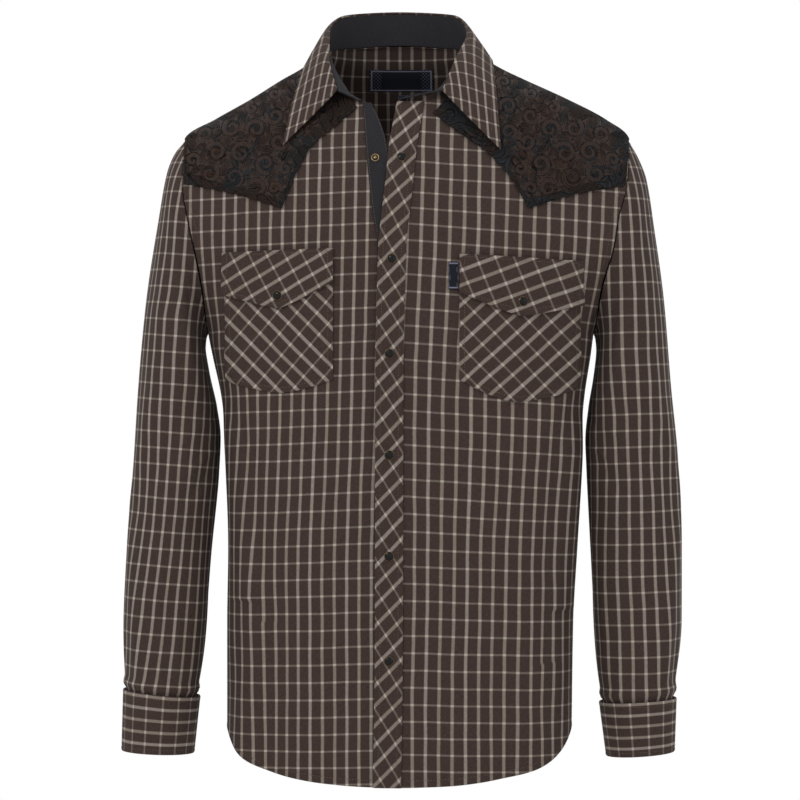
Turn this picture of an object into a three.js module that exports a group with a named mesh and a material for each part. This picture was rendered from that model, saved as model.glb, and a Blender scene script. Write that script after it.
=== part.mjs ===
// Western snap shirt with long sleeves, hollow and filled out as on a general figure, hanging from its shoulders.
// Millimetres, +Z up, the front towards -Y, +X on the wearer's left. The origin is the point between the shoulders
// that the wearer's neck fills, level with the middle of the yoke.
// Names with left and right are the wearer's, so the right front lies on the -X side.
import * as THREE from "three";

// Driving dimensions
const CLOTH = 1.2; // thickness of one layer of plaid cloth
const YOKE_CLOTH = 1.8; // embroidered yoke with its turned edge
const STRIP_CLOTH = 1.2; // facing strip of the under placket
const PLACKET_CLOTH = 1.8; // folded bias strip
const FLAP_CLOTH = 1.6;
const STAND_CLOTH = 1.8;
const LEAF_CLOTH = 2.0;
const CUFF_CLOTH = 2.2;
const LABEL_CLOTH = 1.0;
const SEAM_GAP = 0.3; // between pieces that are sewn edge to edge
const LAYER_GAP = 0.7; // between a panel and what lies on it

const HEM_Z = -752; // lowest point of the shirt tail, at the middle
const HEM_RISE = 58; // how much higher the hem is at the side seams
const TAIL_TOP_Z = -560; // above this height the rows are level
const YOKE_SEAM_Z = -6; // where the back meets the plaid yoke lining inside the neck
const NECK_POINT_Z = 28; // where the neck seam crosses the top of the shoulder
const BACK_NECK_Z = 43.5; // middle of the back neck seam
const ARMHOLE_TOP_Z = -66;
const ARMHOLE_BOTTOM_Z = -273;
const ARMHOLE_FRONT = 72; // how far the armhole seam lies in front of and behind the side
const ARMHOLE_BACK = 78;

const PLACKET_WIDTH = 29.4;
const FACING_WIDTH = 24.5;
const SNAP_RADIUS = 5.2;
const SNAP_HEIGHT = 3.0;

// Half widths of the body at the wearer's right and left, seen from the front
const SIDES = [
  { z: -765, right: 186, left: 184 },
  { z: -583, right: 186, left: 186.5 },
  { z: -497, right: 184.7, left: 191 },
  { z: -410, right: 187, left: 195.5 },
  { z: -365, right: 189.5, left: 196.5 },
  { z: -341, right: 192.5, left: 198.7 },
  { z: -299, right: 201.5, left: 205 },
  { z: -273, right: 206.5, left: 208.5 },
  { z: -66, right: 231, left: 246 },
  { z: -45.5, right: 198, left: 221 },
  { z: -24, right: 160, left: 180 },
  { z: -2.7, right: 126, left: 133.5 },
  { z: 9, right: 105.5, left: 109 },
  { z: 18, right: 93, left: 94 },
  { z: 28, right: 83, left: 82 },
  { z: 34, right: 82, left: 82 },
  { z: 46, right: 80, left: 80 },
];

// Depth of the body in front of and behind its side seams, and how square its sections are there
const DEPTHS = [
  { z: -765, front: 108, back: 118, squareFront: 2.9, squareBack: 2.4 },
  { z: -583, front: 108, back: 115, squareFront: 2.9, squareBack: 2.4 },
  { z: -410, front: 112, back: 117, squareFront: 2.85, squareBack: 2.4 },
  { z: -273, front: 118, back: 130, squareFront: 2.7, squareBack: 2.35 },
  { z: -200, front: 118, back: 132, squareFront: 2.5, squareBack: 2.3 },
  { z: -119, front: 108, back: 125, squareFront: 2.2, squareBack: 2.15 },
  { z: -66, front: 93, back: 112, squareFront: 2, squareBack: 2 },
  { z: -43, front: 82, back: 104, squareFront: 2, squareBack: 2 },
  { z: -21, front: 70, back: 96, squareFront: 2, squareBack: 2 },
  { z: 0, front: 52, back: 87, squareFront: 2, squareBack: 2 },
  { z: 12, front: 40, back: 80, squareFront: 2, squareBack: 2 },
  { z: 28, front: 24, back: 74, squareFront: 2, squareBack: 2 },
  { z: 39, front: 18, back: 72.5, squareFront: 2, squareBack: 2 },
  { z: 44, front: 16, back: 69, squareFront: 2, squareBack: 2 },
];

// Armhole seam seen from the front
const ARMHOLE = [
  { z: -273, right: 206.5, left: 208.5 },
  { z: -225, right: 211, left: 215 },
  { z: -187, right: 218, left: 226 },
  { z: -150, right: 226, left: 232.5 },
  { z: -119, right: 231, left: 241 },
  { z: -66, right: 231, left: 246 },
];

// Collar from its end on the wearer's right (at -0.95), over the shoulders (-0.5 and 0.5) and round the back of the
// neck (0), to its end on the left. seam is the neck seam, fold is the top of the stand, edge is the outer edge of
// the leaf and lift its height over the yoke. Behind the shoulders the seam and the edge follow the body's sections.
const COLLAR = [
  { at: -0.95, seamX: -53, seamZ: -23, foldX: -60, foldY: -84, foldZ: -20, edgeX: -122, edgeZ: -77, lift: 4.5 },
  { at: -0.75, seamX: -68, seamZ: -2, foldX: -71, foldY: -53, foldZ: 15, edgeX: -114, edgeZ: -24, lift: 4 },
  { at: -0.5, seamX: -83, seamZ: 28, foldX: -80, foldY: 0, foldZ: 52, edgeX: -96, edgeZ: 16, lift: 4 },
  { at: -0.28, seamX: -62, seamZ: 38, foldX: -62, foldY: 49, foldZ: 77, edgeX: -71, edgeZ: 28, lift: 9 },
  { at: 0, seamX: 0, seamZ: 43.5, foldX: 0, foldY: 75, foldZ: 84, edgeX: 0, edgeZ: 33, lift: 12 },
  { at: 0.28, seamX: 62, seamZ: 38, foldX: 62, foldY: 49, foldZ: 77, edgeX: 71, edgeZ: 28, lift: 9 },
  { at: 0.5, seamX: 82, seamZ: 28, foldX: 75, foldY: 0, foldZ: 50, edgeX: 97, edgeZ: 16, lift: 4 },
  { at: 0.75, seamX: 60, seamZ: -2, foldX: 62, foldY: -53, foldZ: 15, edgeX: 104, edgeZ: -24, lift: 5 },
  { at: 0.95, seamX: 37, seamZ: -22, foldX: 45, foldY: -84, foldZ: -20, edgeX: 108, edgeZ: -82, lift: 6 },
];
const STAND_END_RIGHT = { at: -1.1, x: -39, z: -31 };
const STAND_END_LEFT = { at: 1.25, x: -3, z: -31 };

// Middle line of the over placket, which leans towards the wearer's left above the second snap
const PLACKET = [
  { z: -765, x: -13.8 },
  { z: -607, x: -11.7 },
  { z: -304, x: -11 },
  { z: -234, x: -9.4 },
  { z: -184, x: -8 },
  { z: -152, x: -4.8 },
  { z: -113, x: -0.2 },
  { z: -77, x: 3.3 },
  { z: -54, x: 7.4 },
  { z: -31, x: 11.6 },
];

// Facing strip of the under placket: its stitched edge, and the width that shows as it turns into the neck
const FACING = [
  { z: -765, x: -27, width: 24.5 },
  { z: -304, x: -24.5, width: 24.5 },
  { z: -183, x: -24, width: 24.5 },
  { z: -152, x: -28.3, width: 24.5 },
  { z: -125, x: -31.4, width: 24.5 },
  { z: -95, x: -34.6, width: 23.5 },
  { z: -73, x: -36.3, width: 21.5 },
  { z: -53, x: -37.5, width: 16.5 },
  { z: -33, x: -39, width: 9 },
];

// Lower edges of the front yokes, from the neck to the point and from the point to the armhole
const YOKE_RIGHT_INNER = [
  { part: 0, x: 45, z: -37.5 },
  { part: 0.25, x: 69, z: -59 },
  { part: 0.5, x: 91.5, z: -78 },
  { part: 0.75, x: 110, z: -111 },
  { part: 1, x: 123.5, z: -145 },
];
const YOKE_RIGHT_OUTER = [
  { part: 0, x: 123.5, z: -145 },
  { part: 0.5, x: 175, z: -129 },
  { part: 1, x: 228, z: -117 },
];
const YOKE_LEFT_INNER = [
  { part: 0, x: 35, z: -45 },
  { part: 0.25, x: 62, z: -65 },
  { part: 0.5, x: 90, z: -85 },
  { part: 0.75, x: 114, z: -111 },
  { part: 1, x: 134.5, z: -145 },
];
const YOKE_LEFT_OUTER = [
  { part: 0, x: 134.5, z: -145 },
  { part: 0.5, x: 186, z: -129 },
  { part: 1, x: 238, z: -119 },
];
const BACK_YOKE = { centreZ: -132, pointX: 112, pointZ: -176, sideZ: -126 };
const YOKE_NECK_Z = 21; // top of the shoulder where the yokes end, under the collar

// Sleeves from the armhole to the cuff: the outer and inner edges seen from the front,
// the depth in front and behind, and how far the sleeve hangs forward
const SLEEVE_RIGHT = [
  { at: 0, outX: 231, outZ: -66, inX: 207.4, inZ: -273, front: 72, back: 78, forward: 0 },
  { at: 0.04, outX: 242, outZ: -79, inX: 210, inZ: -281, front: 73, back: 79, forward: 0 },
  { at: 0.09, outX: 250.6, outZ: -99, inX: 210.5, inZ: -291, front: 74, back: 79, forward: 0 },
  { at: 0.18, outX: 261.4, outZ: -158, inX: 205.5, inZ: -320, front: 74, back: 77, forward: 1 },
  { at: 0.29, outX: 273.8, outZ: -240, inX: 197.5, inZ: -354, front: 70, back: 72, forward: 2 },
  { at: 0.41, outX: 282.4, outZ: -335, inX: 193.5, inZ: -387, front: 65, back: 66, forward: 4 },
  { at: 0.53, outX: 287.3, outZ: -416, inX: 195.2, inZ: -428, front: 59, back: 60, forward: 7 },
  { at: 0.68, outX: 293.8, outZ: -502, inX: 203.1, inZ: -511, front: 54, back: 55, forward: 11 },
  { at: 0.84, outX: 297.3, outZ: -589, inX: 209.6, inZ: -596, front: 50, back: 50, forward: 16 },
  { at: 0.955, outX: 295.4, outZ: -640, inX: 216.4, inZ: -648, front: 46.5, back: 46.5, forward: 19 },
  { at: 1, outX: 292.2, outZ: -660, inX: 221.2, inZ: -668.5, front: 43.6, back: 43.6, forward: 20 },
];
const SLEEVE_LEFT = [
  { at: 0, outX: 246, outZ: -66, inX: 209.4, inZ: -273, front: 72, back: 78, forward: 0 },
  { at: 0.04, outX: 257, outZ: -85, inX: 212, inZ: -282, front: 73, back: 79, forward: 0 },
  { at: 0.09, outX: 265.7, outZ: -108, inX: 212.5, inZ: -292, front: 74, back: 79, forward: 0 },
  { at: 0.18, outX: 274.3, outZ: -162, inX: 209, inZ: -322, front: 74, back: 77, forward: 1 },
  { at: 0.29, outX: 284.6, outZ: -238, inX: 203.5, inZ: -354, front: 70, back: 72, forward: 2 },
  { at: 0.41, outX: 292.1, outZ: -330, inX: 200, inZ: -389, front: 65, back: 66, forward: 4 },
  { at: 0.53, outX: 299.2, outZ: -405, inX: 200.9, inZ: -419, front: 59, back: 60, forward: 7 },
  { at: 0.68, outX: 303.2, outZ: -497, inX: 205.2, inZ: -508, front: 54, back: 55, forward: 11 },
  { at: 0.84, outX: 302.7, outZ: -583, inX: 209.7, inZ: -594, front: 50, back: 50, forward: 16 },
  { at: 0.955, outX: 295.8, outZ: -646, inX: 215.4, inZ: -654, front: 46.5, back: 46.5, forward: 19 },
  { at: 1, outX: 291.9, outZ: -669.4, inX: 220.5, inZ: -674.6, front: 43.6, back: 43.6, forward: 20 },
];
const CUFF_RIGHT = [
  { at: 0, outX: 293.1, outZ: -655, inX: 219.7, inZ: -662.5, front: 44, back: 44, forward: 20 },
  { at: 1, outX: 294.6, outZ: -720.5, inX: 226, inZ: -723, front: 40, back: 40, forward: 24 },
];
const CUFF_LEFT = [
  { at: 0, outX: 292.9, outZ: -664.4, inX: 219, inZ: -668.6, front: 44, back: 44, forward: 20 },
  { at: 1, outX: 290.5, outZ: -721.2, inX: 226.4, inZ: -726.2, front: 40, back: 40, forward: 24 },
];
const CUFF_START = 198; // degrees round the sleeve from its outer edge, over the front, where the cuff opens
const CUFF_LAP = 36; // degrees by which the cuff laps over itself
const SLIT = { from: 0.972, to: 0.773 }; // share of the sleeve's length at the ends of its placket

// Soft folds of the body: the line of each from top to bottom, its half width, and its height or depth
const BODY_FOLDS = [
  { face: -1, topX: -150, topZ: -470, endX: -172, endZ: -770, width: 15, high: 3.2 },
  { face: -1, topX: -120, topZ: -500, endX: -143, endZ: -770, width: 14, high: -3 },
  { face: -1, topX: -75, topZ: -380, endX: -96, endZ: -770, width: 20, high: 2.2 },
  { face: -1, topX: -186, topZ: -335, endX: -165, endZ: -520, width: 13, high: 2.6 },
  { face: -1, topX: -168, topZ: -350, endX: -146, endZ: -540, width: 11, high: -2.4 },
  { face: -1, topX: 128, topZ: -420, endX: 140, endZ: -780, width: 17, high: 3 },
  { face: -1, topX: 100, topZ: -440, endX: 110, endZ: -780, width: 14, high: -2.6 },
  { face: -1, topX: 52, topZ: -360, endX: 60, endZ: -780, width: 20, high: 2 },
  { face: -1, topX: 192, topZ: -345, endX: 172, endZ: -530, width: 13, high: 2.6 },
  { face: -1, topX: 172, topZ: -360, endX: 156, endZ: -580, width: 12, high: -2.4 },
  { face: 1, topX: -95, topZ: -180, endX: -125, endZ: -790, width: 24, high: 4 },
  { face: 1, topX: -58, topZ: -230, endX: -76, endZ: -790, width: 20, high: -3.5 },
  { face: 1, topX: 4, topZ: -260, endX: -6, endZ: -790, width: 24, high: 2.8 },
  { face: 1, topX: 60, topZ: -230, endX: 72, endZ: -790, width: 20, high: -3.5 },
  { face: 1, topX: 98, topZ: -180, endX: 128, endZ: -790, width: 24, high: 4 },
];

// Soft folds of a sleeve: where each starts and ends round and along it, its half width in degrees, and its height
const SLEEVE_FOLDS = [
  { topAngle: 60, top: 0.34, endAngle: 25, end: 0.62, width: 15, high: 2.6 },
  { topAngle: 120, top: 0.3, endAngle: 70, end: 0.58, width: 16, high: -2.6 },
  { topAngle: 20, top: 0.55, endAngle: 70, end: 1.02, width: 15, high: 2.8 },
  { topAngle: 95, top: 0.6, endAngle: 110, end: 1.04, width: 14, high: -2.4 },
  { topAngle: 140, top: 0.62, endAngle: 150, end: 1.04, width: 14, high: 2.4 },
  { topAngle: 230, top: 0.3, endAngle: 290, end: 0.66, width: 18, high: 3 },
  { topAngle: 300, top: 0.28, endAngle: 340, end: 0.6, width: 16, high: -2.6 },
  { topAngle: 215, top: 0.62, endAngle: 235, end: 1.04, width: 14, high: 2.6 },
  { topAngle: 275, top: 0.66, endAngle: 285, end: 1.04, width: 14, high: -2.6 },
];

// Pockets and flaps: corners at the sides and the low point, at the wearer's right and left breast
const POCKETS = {
  right: {
    side: -1, nearX: -70, farX: -184, topNearZ: -226, topFarZ: -230, lowX: -124, lowZ: -338,
    nearZ: -324, farZ: -325, flapNearZ: -222, flapFarZ: -234, flapTopNearZ: -187, flapTopFarZ: -190.5,
    flapX: -126.6, flapLowZ: -249.5, snapX: -127, snapZ: -236,
  },
  left: {
    side: 1, nearX: 62, farX: 190, topNearZ: -230, topFarZ: -236, lowX: 122, lowZ: -348,
    nearZ: -324, farZ: -333, flapNearZ: -233, flapFarZ: -245, flapTopNearZ: -193, flapTopFarZ: -199,
    flapX: 126.6, flapLowZ: -257.5, snapX: 127.5, snapZ: -242,
  },
};

const SNAP_Z = [-92, -198, -297, -403, -509, -619];
const OPEN_SNAP = { x: -26, z: -92 }; // stud on the under placket, where the neck lies open

const NECK_LABEL = { fromX: -34, toX: 37, topZ: 19, bottomZ: -3.5 };
const SIZE_TAB = { fromX: -2, toX: 9, topZ: -7.5, bottomZ: -16 };
const POCKET_TAB = { fromX: 50.5, toX: 61, topZ: -201, bottomZ: -230 };

// Materials
const cloth = (name, color, roughness) => {
  const material = new THREE.MeshStandardMaterial({ color, roughness, metalness: 0 });
  material.name = name;
  return material;
};
const plaid = cloth("plaid_cloth", 0x4b3f3a, 0.92);
const embroidered = cloth("yoke_cloth", 0x2c2827, 0.9);
const chambray = cloth("chambray_cloth", 0x36363b, 0.92);
const woven = cloth("label_cloth", 0x15161c, 0.8);
const enamel = new THREE.MeshStandardMaterial({ color: 0x08080a, roughness: 0.12, metalness: 0 });
const brass = new THREE.MeshStandardMaterial({ color: 0xa08a58, roughness: 0.3, metalness: 1 });

// A smooth curve through one column of a table, with no overshoot between its rows
function curve(rows, at, column) {
  const xs = rows.map((row) => row[at]);
  const ys = rows.map((row) => row[column]);
  const last = xs.length - 1;
  const secants = xs.slice(1).map((x, i) => (ys[i + 1] - ys[i]) / (x - xs[i]));
  const slopes = xs.map((x, i) => {
    if (i === 0) return secants[0];
    if (i === last) return secants[last - 1];
    const [before, after] = [secants[i - 1], secants[i]];
    return before * after <= 0 ? 0 : (2 * before * after) / (before + after);
  });
  return (x) => {
    if (x <= xs[0]) return ys[0] + slopes[0] * (x - xs[0]);
    if (x >= xs[last]) return ys[last] + slopes[last] * (x - xs[last]);
    const i = xs.findIndex((value) => value > x) - 1;
    const step = xs[i + 1] - xs[i];
    const part = (x - xs[i]) / step;
    const rest = 1 - part;
    return (
      ys[i] * (1 + 2 * part) * rest * rest +
      ys[i + 1] * part * part * (3 - 2 * part) +
      step * (slopes[i] * part * rest * rest - slopes[i + 1] * part * part * rest)
    );
  };
}

const mix = (a, b, part) => a + (b - a) * part;
const clamp01 = (value) => Math.min(1, Math.max(0, value));
const ease = (value) => clamp01(value) ** 2 * (3 - 2 * clamp01(value));
const radians = (degrees) => (degrees * Math.PI) / 180;
const spread = (from, to, count) => Array.from({ length: count }, (_, i) => mix(from, to, i / count));

// Body: sections at each height are squared ellipses, one half in front and one behind
const sideName = (side) => (side < 0 ? "right" : "left");
const halfWidth = { right: curve(SIDES, "z", "right"), left: curve(SIDES, "z", "left") };
const depthIn = { front: curve(DEPTHS, "z", "front"), back: curve(DEPTHS, "z", "back") };
const squareness = { front: curve(DEPTHS, "z", "squareFront"), back: curve(DEPTHS, "z", "squareBack") };
const armholeX = { right: curve(ARMHOLE, "z", "right"), left: curve(ARMHOLE, "z", "left") };
const ARMHOLE_MIDDLE = (ARMHOLE_TOP_Z + ARMHOLE_BOTTOM_Z) / 2;
const ARMHOLE_HALF = (ARMHOLE_TOP_Z - ARMHOLE_BOTTOM_Z) / 2;
const armholeHeight = (angle) => ARMHOLE_MIDDLE + ARMHOLE_HALF * Math.cos(radians(angle));
const SLEEVE_COLUMNS = 20;
const COLUMN_ANGLE = 360 / SLEEVE_COLUMNS;

// Between the armpit and the shoulder the section is widened, so that it passes through the armhole seam
function section(face, side, z) {
  const half = face < 0 ? "front" : "back";
  const depth = depthIn[half](z);
  const square = squareness[half](z);
  if (z <= ARMHOLE_BOTTOM_Z || z >= ARMHOLE_TOP_Z) {
    return { width: halfWidth[sideName(side)](z), depth, square };
  }
  const round = Math.sqrt(1 - ((z - ARMHOLE_MIDDLE) / ARMHOLE_HALF) ** 2);
  const seamDepth = (face < 0 ? ARMHOLE_FRONT : ARMHOLE_BACK) * round;
  const share = (1 - (seamDepth / depth) ** square) ** (1 / square);
  return { width: armholeX[sideName(side)](z) / share, depth, square };
}

const RING_STEPS = 60;
const rings = new Map();

// One quarter of a section, with its length measured from the middle line to the side
function quarter(face, side, z) {
  const key = `${face} ${side} ${z.toFixed(4)}`;
  if (rings.has(key)) return rings.get(key);
  const { width, depth, square } = section(face, side, z);
  const point = (angle) => [
    width * Math.sin(angle) ** (2 / square),
    depth * Math.max(0, Math.cos(angle)) ** (2 / square),
  ];
  const lengths = [0];
  for (let i = 1; i <= RING_STEPS; i++) {
    const [x0, y0] = point(((i - 1) / RING_STEPS) * (Math.PI / 2));
    const [x1, y1] = point((i / RING_STEPS) * (Math.PI / 2));
    lengths.push(lengths[i - 1] + Math.hypot(x1 - x0, y1 - y0));
  }
  const made = { width, square, point, lengths, total: lengths[RING_STEPS] };
  rings.set(key, made);
  return made;
}

// Share of the quarter's length at which the body is x wide
function shareAt(face, x, z) {
  const ring = quarter(face, x < 0 ? -1 : 1, z);
  const ratio = Math.min(1, Math.abs(x) / ring.width);
  const step = (Math.asin(ratio ** (ring.square / 2)) / (Math.PI / 2)) * RING_STEPS;
  const i = Math.min(RING_STEPS - 1, Math.floor(step));
  return (Math.sign(x) * mix(ring.lengths[i], ring.lengths[i + 1], step - i)) / ring.total;
}

// Point of the bare body form; a share past 1 goes on round the side to the other face
function formPoint(face, share, z) {
  const side = share < 0 ? -1 : 1;
  const past = Math.abs(share) > 1;
  const here = past ? -face : face;
  const ring = quarter(here, side, z);
  const length = (past ? 2 - Math.abs(share) : Math.abs(share)) * ring.total;
  let i = ring.lengths.findIndex((value) => value > length) - 1;
  if (i < 0) i = RING_STEPS - 1;
  const part = (length - ring.lengths[i]) / (ring.lengths[i + 1] - ring.lengths[i]);
  const [x, y] = ring.point(((i + clamp01(part)) / RING_STEPS) * (Math.PI / 2));
  return new THREE.Vector3(side * x, here * y, z);
}

function foldHeight(face, x, z) {
  return BODY_FOLDS.filter((fold) => fold.face === face).reduce((sum, fold) => {
    const down = (fold.topZ - z) / (fold.topZ - fold.endZ);
    if (down <= 0 || down >= 1.2) return sum;
    const away = (x - mix(fold.topX, fold.endX, down)) / fold.width;
    return sum + fold.high * Math.exp(-away * away) * ease(down / 0.35);
  }, 0);
}

const DIFFERENCE = 0.004;

function bodyNormal(face, share, z) {
  const across = formPoint(face, share + DIFFERENCE, z).sub(formPoint(face, share - DIFFERENCE, z));
  const up = formPoint(face, share, z + 0.5).sub(formPoint(face, share, z - 0.5));
  return across.cross(up).normalize().multiplyScalar(-face);
}

// Point of the shirt's body, moved out from the cloth's outer surface by lift
function onBody(face, share, z, lift) {
  const point = formPoint(face, share, z);
  const out = bodyNormal(face, share, z);
  const folded = foldHeight(face, point.x, z) * ease((1 - Math.abs(share)) / 0.12);
  point.addScaledVector(out, lift + folded);
  point.y += (face * SEAM_GAP) / 2;
  return point;
}

const atX = (face, x, z, lift) => onBody(face, shareAt(face, x, z), z, lift);

// Where a level line at height z meets the neck seam, on the front of one side
const seamX = curve(COLLAR, "at", "seamX");
const seamZ = curve(COLLAR, "at", "seamZ");
function neckSeam(at) {
  const ends = [STAND_END_RIGHT, STAND_END_LEFT];
  const end = ends[at < 0 ? 0 : 1];
  const limit = at < 0 ? COLLAR[0].at : COLLAR[COLLAR.length - 1].at;
  if (Math.abs(at) <= 0.5) return { x: formPoint(1, 2 * at, seamZ(at)).x, z: seamZ(at) };
  if (Math.abs(at) <= Math.abs(limit)) return { x: seamX(at), z: seamZ(at) };
  const part = (at - limit) / (end.at - limit);
  return { x: mix(seamX(limit), end.x, part), z: mix(seamZ(limit), end.z, part) };
}
function seamAtHeight(z, from, to) {
  let [low, high] = [from, to];
  for (let i = 0; i < 30; i++) {
    const middle = (low + high) / 2;
    if (neckSeam(middle).z < z) low = middle;
    else high = middle;
  }
  return neckSeam(low).x;
}

// A closed wall between an outer and an inner surface: at(across, along, depth) gives its points
function wall(name, material, acrossSteps, alongSteps, thickness, at, joined = false) {
  const across = Array.isArray(acrossSteps) ? acrossSteps : spread(0, 1, acrossSteps).concat(joined ? [] : 1);
  const along = Array.isArray(alongSteps) ? alongSteps : spread(0, 1, alongSteps).concat(1);
  const columns = across.length;
  const rows = along.length;
  const positions = [];
  for (const depth of [0, thickness]) {
    for (const v of along) for (const u of across) positions.push(...at(u, v, depth).toArray());
  }
  const index = [];
  const vertex = (layer, row, column) => (layer * rows + row) * columns + (column % columns);
  const quad = (a, b, c, d) => index.push(a, b, c, a, c, d);
  const last = joined ? columns : columns - 1;
  for (let row = 0; row < rows - 1; row++) {
    for (let column = 0; column < last; column++) {
      const outer = [[row, column], [row, column + 1], [row + 1, column + 1], [row + 1, column]];
      quad(...outer.map(([r, c]) => vertex(0, r, c)));
      quad(...outer.reverse().map(([r, c]) => vertex(1, r, c)));
    }
  }
  const rim = (r0, c0, r1, c1) => quad(vertex(0, r0, c0), vertex(1, r0, c0), vertex(1, r1, c1), vertex(0, r1, c1));
  for (let column = 0; column < last; column++) {
    rim(0, column, 0, column + 1);
    rim(rows - 1, column + 1, rows - 1, column);
  }
  if (!joined) {
    for (let row = 0; row < rows - 1; row++) {
      rim(row + 1, 0, row, 0);
      rim(row, columns - 1, row + 1, columns - 1);
    }
  }
  return mesh(name, material, positions, index);
}

function mesh(name, material, positions, index) {
  const corner = (i) => new THREE.Vector3().fromArray(positions, index[i] * 3);
  let volume = 0;
  for (let i = 0; i < index.length; i += 3) volume += corner(i).dot(corner(i + 1).cross(corner(i + 2)));
  const faces = volume < 0 ? index.slice().reverse() : index;
  const geometry = new THREE.BufferGeometry();
  geometry.setAttribute("position", new THREE.Float32BufferAttribute(positions, 3));
  geometry.setIndex(faces);
  geometry.computeVertexNormals();
  const made = new THREE.Mesh(geometry, material);
  made.name = name;
  return made;
}

const shirt = new THREE.Group();

// Body panels
const LOW_ROWS = spread(HEM_Z, -300, 12);
const ARM_ROWS = [-300, ...spread(180, 0, SLEEVE_COLUMNS / 2).map((angle) => armholeHeight(angle))];
const SHOULDER_ROWS = spread(ARMHOLE_TOP_Z, NECK_POINT_Z - 2, 8).concat(NECK_POINT_Z - 2);
const FRONT_ROWS = [...LOW_ROWS, ...ARM_ROWS, ...SHOULDER_ROWS];
const BACK_ROWS = [...LOW_ROWS, ...ARM_ROWS, ...spread(ARMHOLE_TOP_Z, YOKE_SEAM_Z, 5), YOKE_SEAM_Z - SEAM_GAP / 2];
const FRONT_COLUMNS = 9;
const BACK_COLUMNS = 18;

// The shirt tail: rows near the hem rise towards the side seams
function tailHeight(face, share, z) {
  if (z >= TAIL_TOP_Z) return z;
  const point = formPoint(face, share, z);
  const wide = Math.abs(point.x) / section(face, share < 0 ? -1 : 1, z).width;
  const rise = HEM_RISE * (0.5 * wide ** 2.3 + 0.5 * wide ** 14);
  return z + rise * ((TAIL_TOP_Z - z) / (TAIL_TOP_Z - HEM_Z)) ** 1.5;
}

// Share at which a panel ends: the side seam, the armhole, or the top of the shoulder
function outerShare(face, side, z) {
  if (z <= ARMHOLE_BOTTOM_Z || z >= ARMHOLE_TOP_Z) return side;
  return shareAt(face, side * (armholeX[sideName(side)](z) - SEAM_GAP), z);
}

const placketMiddle = curve(PLACKET, "z", "x");
const facingEdge = curve(FACING, "z", "x");
const facingWidth = curve(FACING, "z", "width");
const PANEL_INSET = 1.5; // the front stops this far inside the strip that covers its edge

function frontRightEdge(z) {
  if (z > STAND_END_RIGHT.z) return seamAtHeight(z, STAND_END_RIGHT.at, -0.5);
  return facingEdge(z) + facingWidth(z) - PANEL_INSET;
}
function seamXLeft(z) {
  let [low, high] = [0.5, STAND_END_LEFT.at];
  for (let i = 0; i < 30; i++) {
    const middle = (low + high) / 2;
    if (neckSeam(middle).z > z) low = middle;
    else high = middle;
  }
  return neckSeam(low).x;
}

const FRONT_RISE = 2.4; // the left front climbs this much onto the layers under the placket
const RISE_WIDTH = 36;

function leftRise(x, z) {
  const away = x - (placketMiddle(Math.min(z, STAND_END_LEFT.z)) + PLACKET_WIDTH / 2);
  return FRONT_RISE * ease(1 - away / RISE_WIDTH);
}

function frontPanel(name, side, innerX, rise) {
  return wall(name, plaid, FRONT_COLUMNS, FRONT_ROWS, CLOTH, (u, row, depth) => {
    const inner = shareAt(-1, innerX(row), row);
    const share = mix(inner, outerShare(-1, side, row), u);
    const z = tailHeight(-1, share, row);
    const lift = rise(formPoint(-1, share, z).x, z);
    return onBody(-1, share, z, lift - depth);
  });
}
const leftInner = (z) =>
  z > STAND_END_LEFT.z + 3
    ? Math.max(seamXLeft(z), 25)
    : placketMiddle(Math.min(z, STAND_END_LEFT.z)) + PLACKET_WIDTH / 2 - PANEL_INSET;
shirt.add(frontPanel("front_right", -1, frontRightEdge, () => 0));
shirt.add(frontPanel("front_left", 1, leftInner, leftRise));

shirt.add(
  wall("back", plaid, BACK_COLUMNS, BACK_ROWS, CLOTH, (u, row, depth) => {
    const share = mix(outerShare(1, -1, row), outerShare(1, 1, row), u);
    return onBody(1, share, tailHeight(1, share, row), -depth);
  }),
);

// Plaid yoke lining, which shows inside the back of the neck
const LINING_ROWS = [YOKE_SEAM_Z + SEAM_GAP / 2, 4, 13, 21, 28, 33, 37.5, 41, BACK_NECK_Z - 0.6];
function liningShare(side, z) {
  if (z <= NECK_POINT_Z) return side;
  const x = side < 0 ? seamAtHeight(z, -0.5, 0) : -seamAtHeight(z, -0.5, 0);
  return shareAt(1, x, z);
}
shirt.add(
  wall("yoke_lining", plaid, 14, LINING_ROWS, CLOTH, (u, row, depth) => {
    const share = mix(liningShare(-1, row), liningShare(1, row), u);
    return onBody(1, share, row, -depth);
  }),
);

// Yokes, which lie on the fronts and the back and meet on top of the shoulder
const toRidge = (part) => 1 - (1 - part) ** 1.8;
const YOKE_LIFT = 1.2 + YOKE_CLOTH;

function ridge(side, part) {
  const z = mix(YOKE_NECK_Z, ARMHOLE_TOP_Z, part);
  return { x: halfWidth[sideName(side)](z), z };
}

function frontYoke(name, side, inner, outer) {
  const innerX = curve(inner, "part", "x");
  const innerZ = curve(inner, "part", "z");
  const outerX = curve(outer, "part", "x");
  const outerZ = curve(outer, "part", "z");
  return wall(name, embroidered, 14, 10, YOKE_CLOTH, (u, v, depth) => {
    const low = u <= 0.5 ? { x: innerX(u * 2), z: innerZ(u * 2) } : { x: outerX(u * 2 - 1), z: outerZ(u * 2 - 1) };
    const high = ridge(side, u);
    const part = toRidge(v);
    const z = mix(low.z, high.z, part);
    const widest = armholeX[sideName(side)](Math.min(z, ARMHOLE_TOP_Z)) - 2 * SEAM_GAP;
    const x = Math.min(mix(low.x, high.x, part), v === 1 ? Infinity : widest);
    const lift = YOKE_LIFT + (side > 0 ? leftRise(x, z) : 0) - depth;
    return onBody(-1, v === 1 ? side : shareAt(-1, side * x, z), z, lift);
  });
}
shirt.add(frontYoke("yoke_front_right", -1, YOKE_RIGHT_INNER, YOKE_RIGHT_OUTER));
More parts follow.
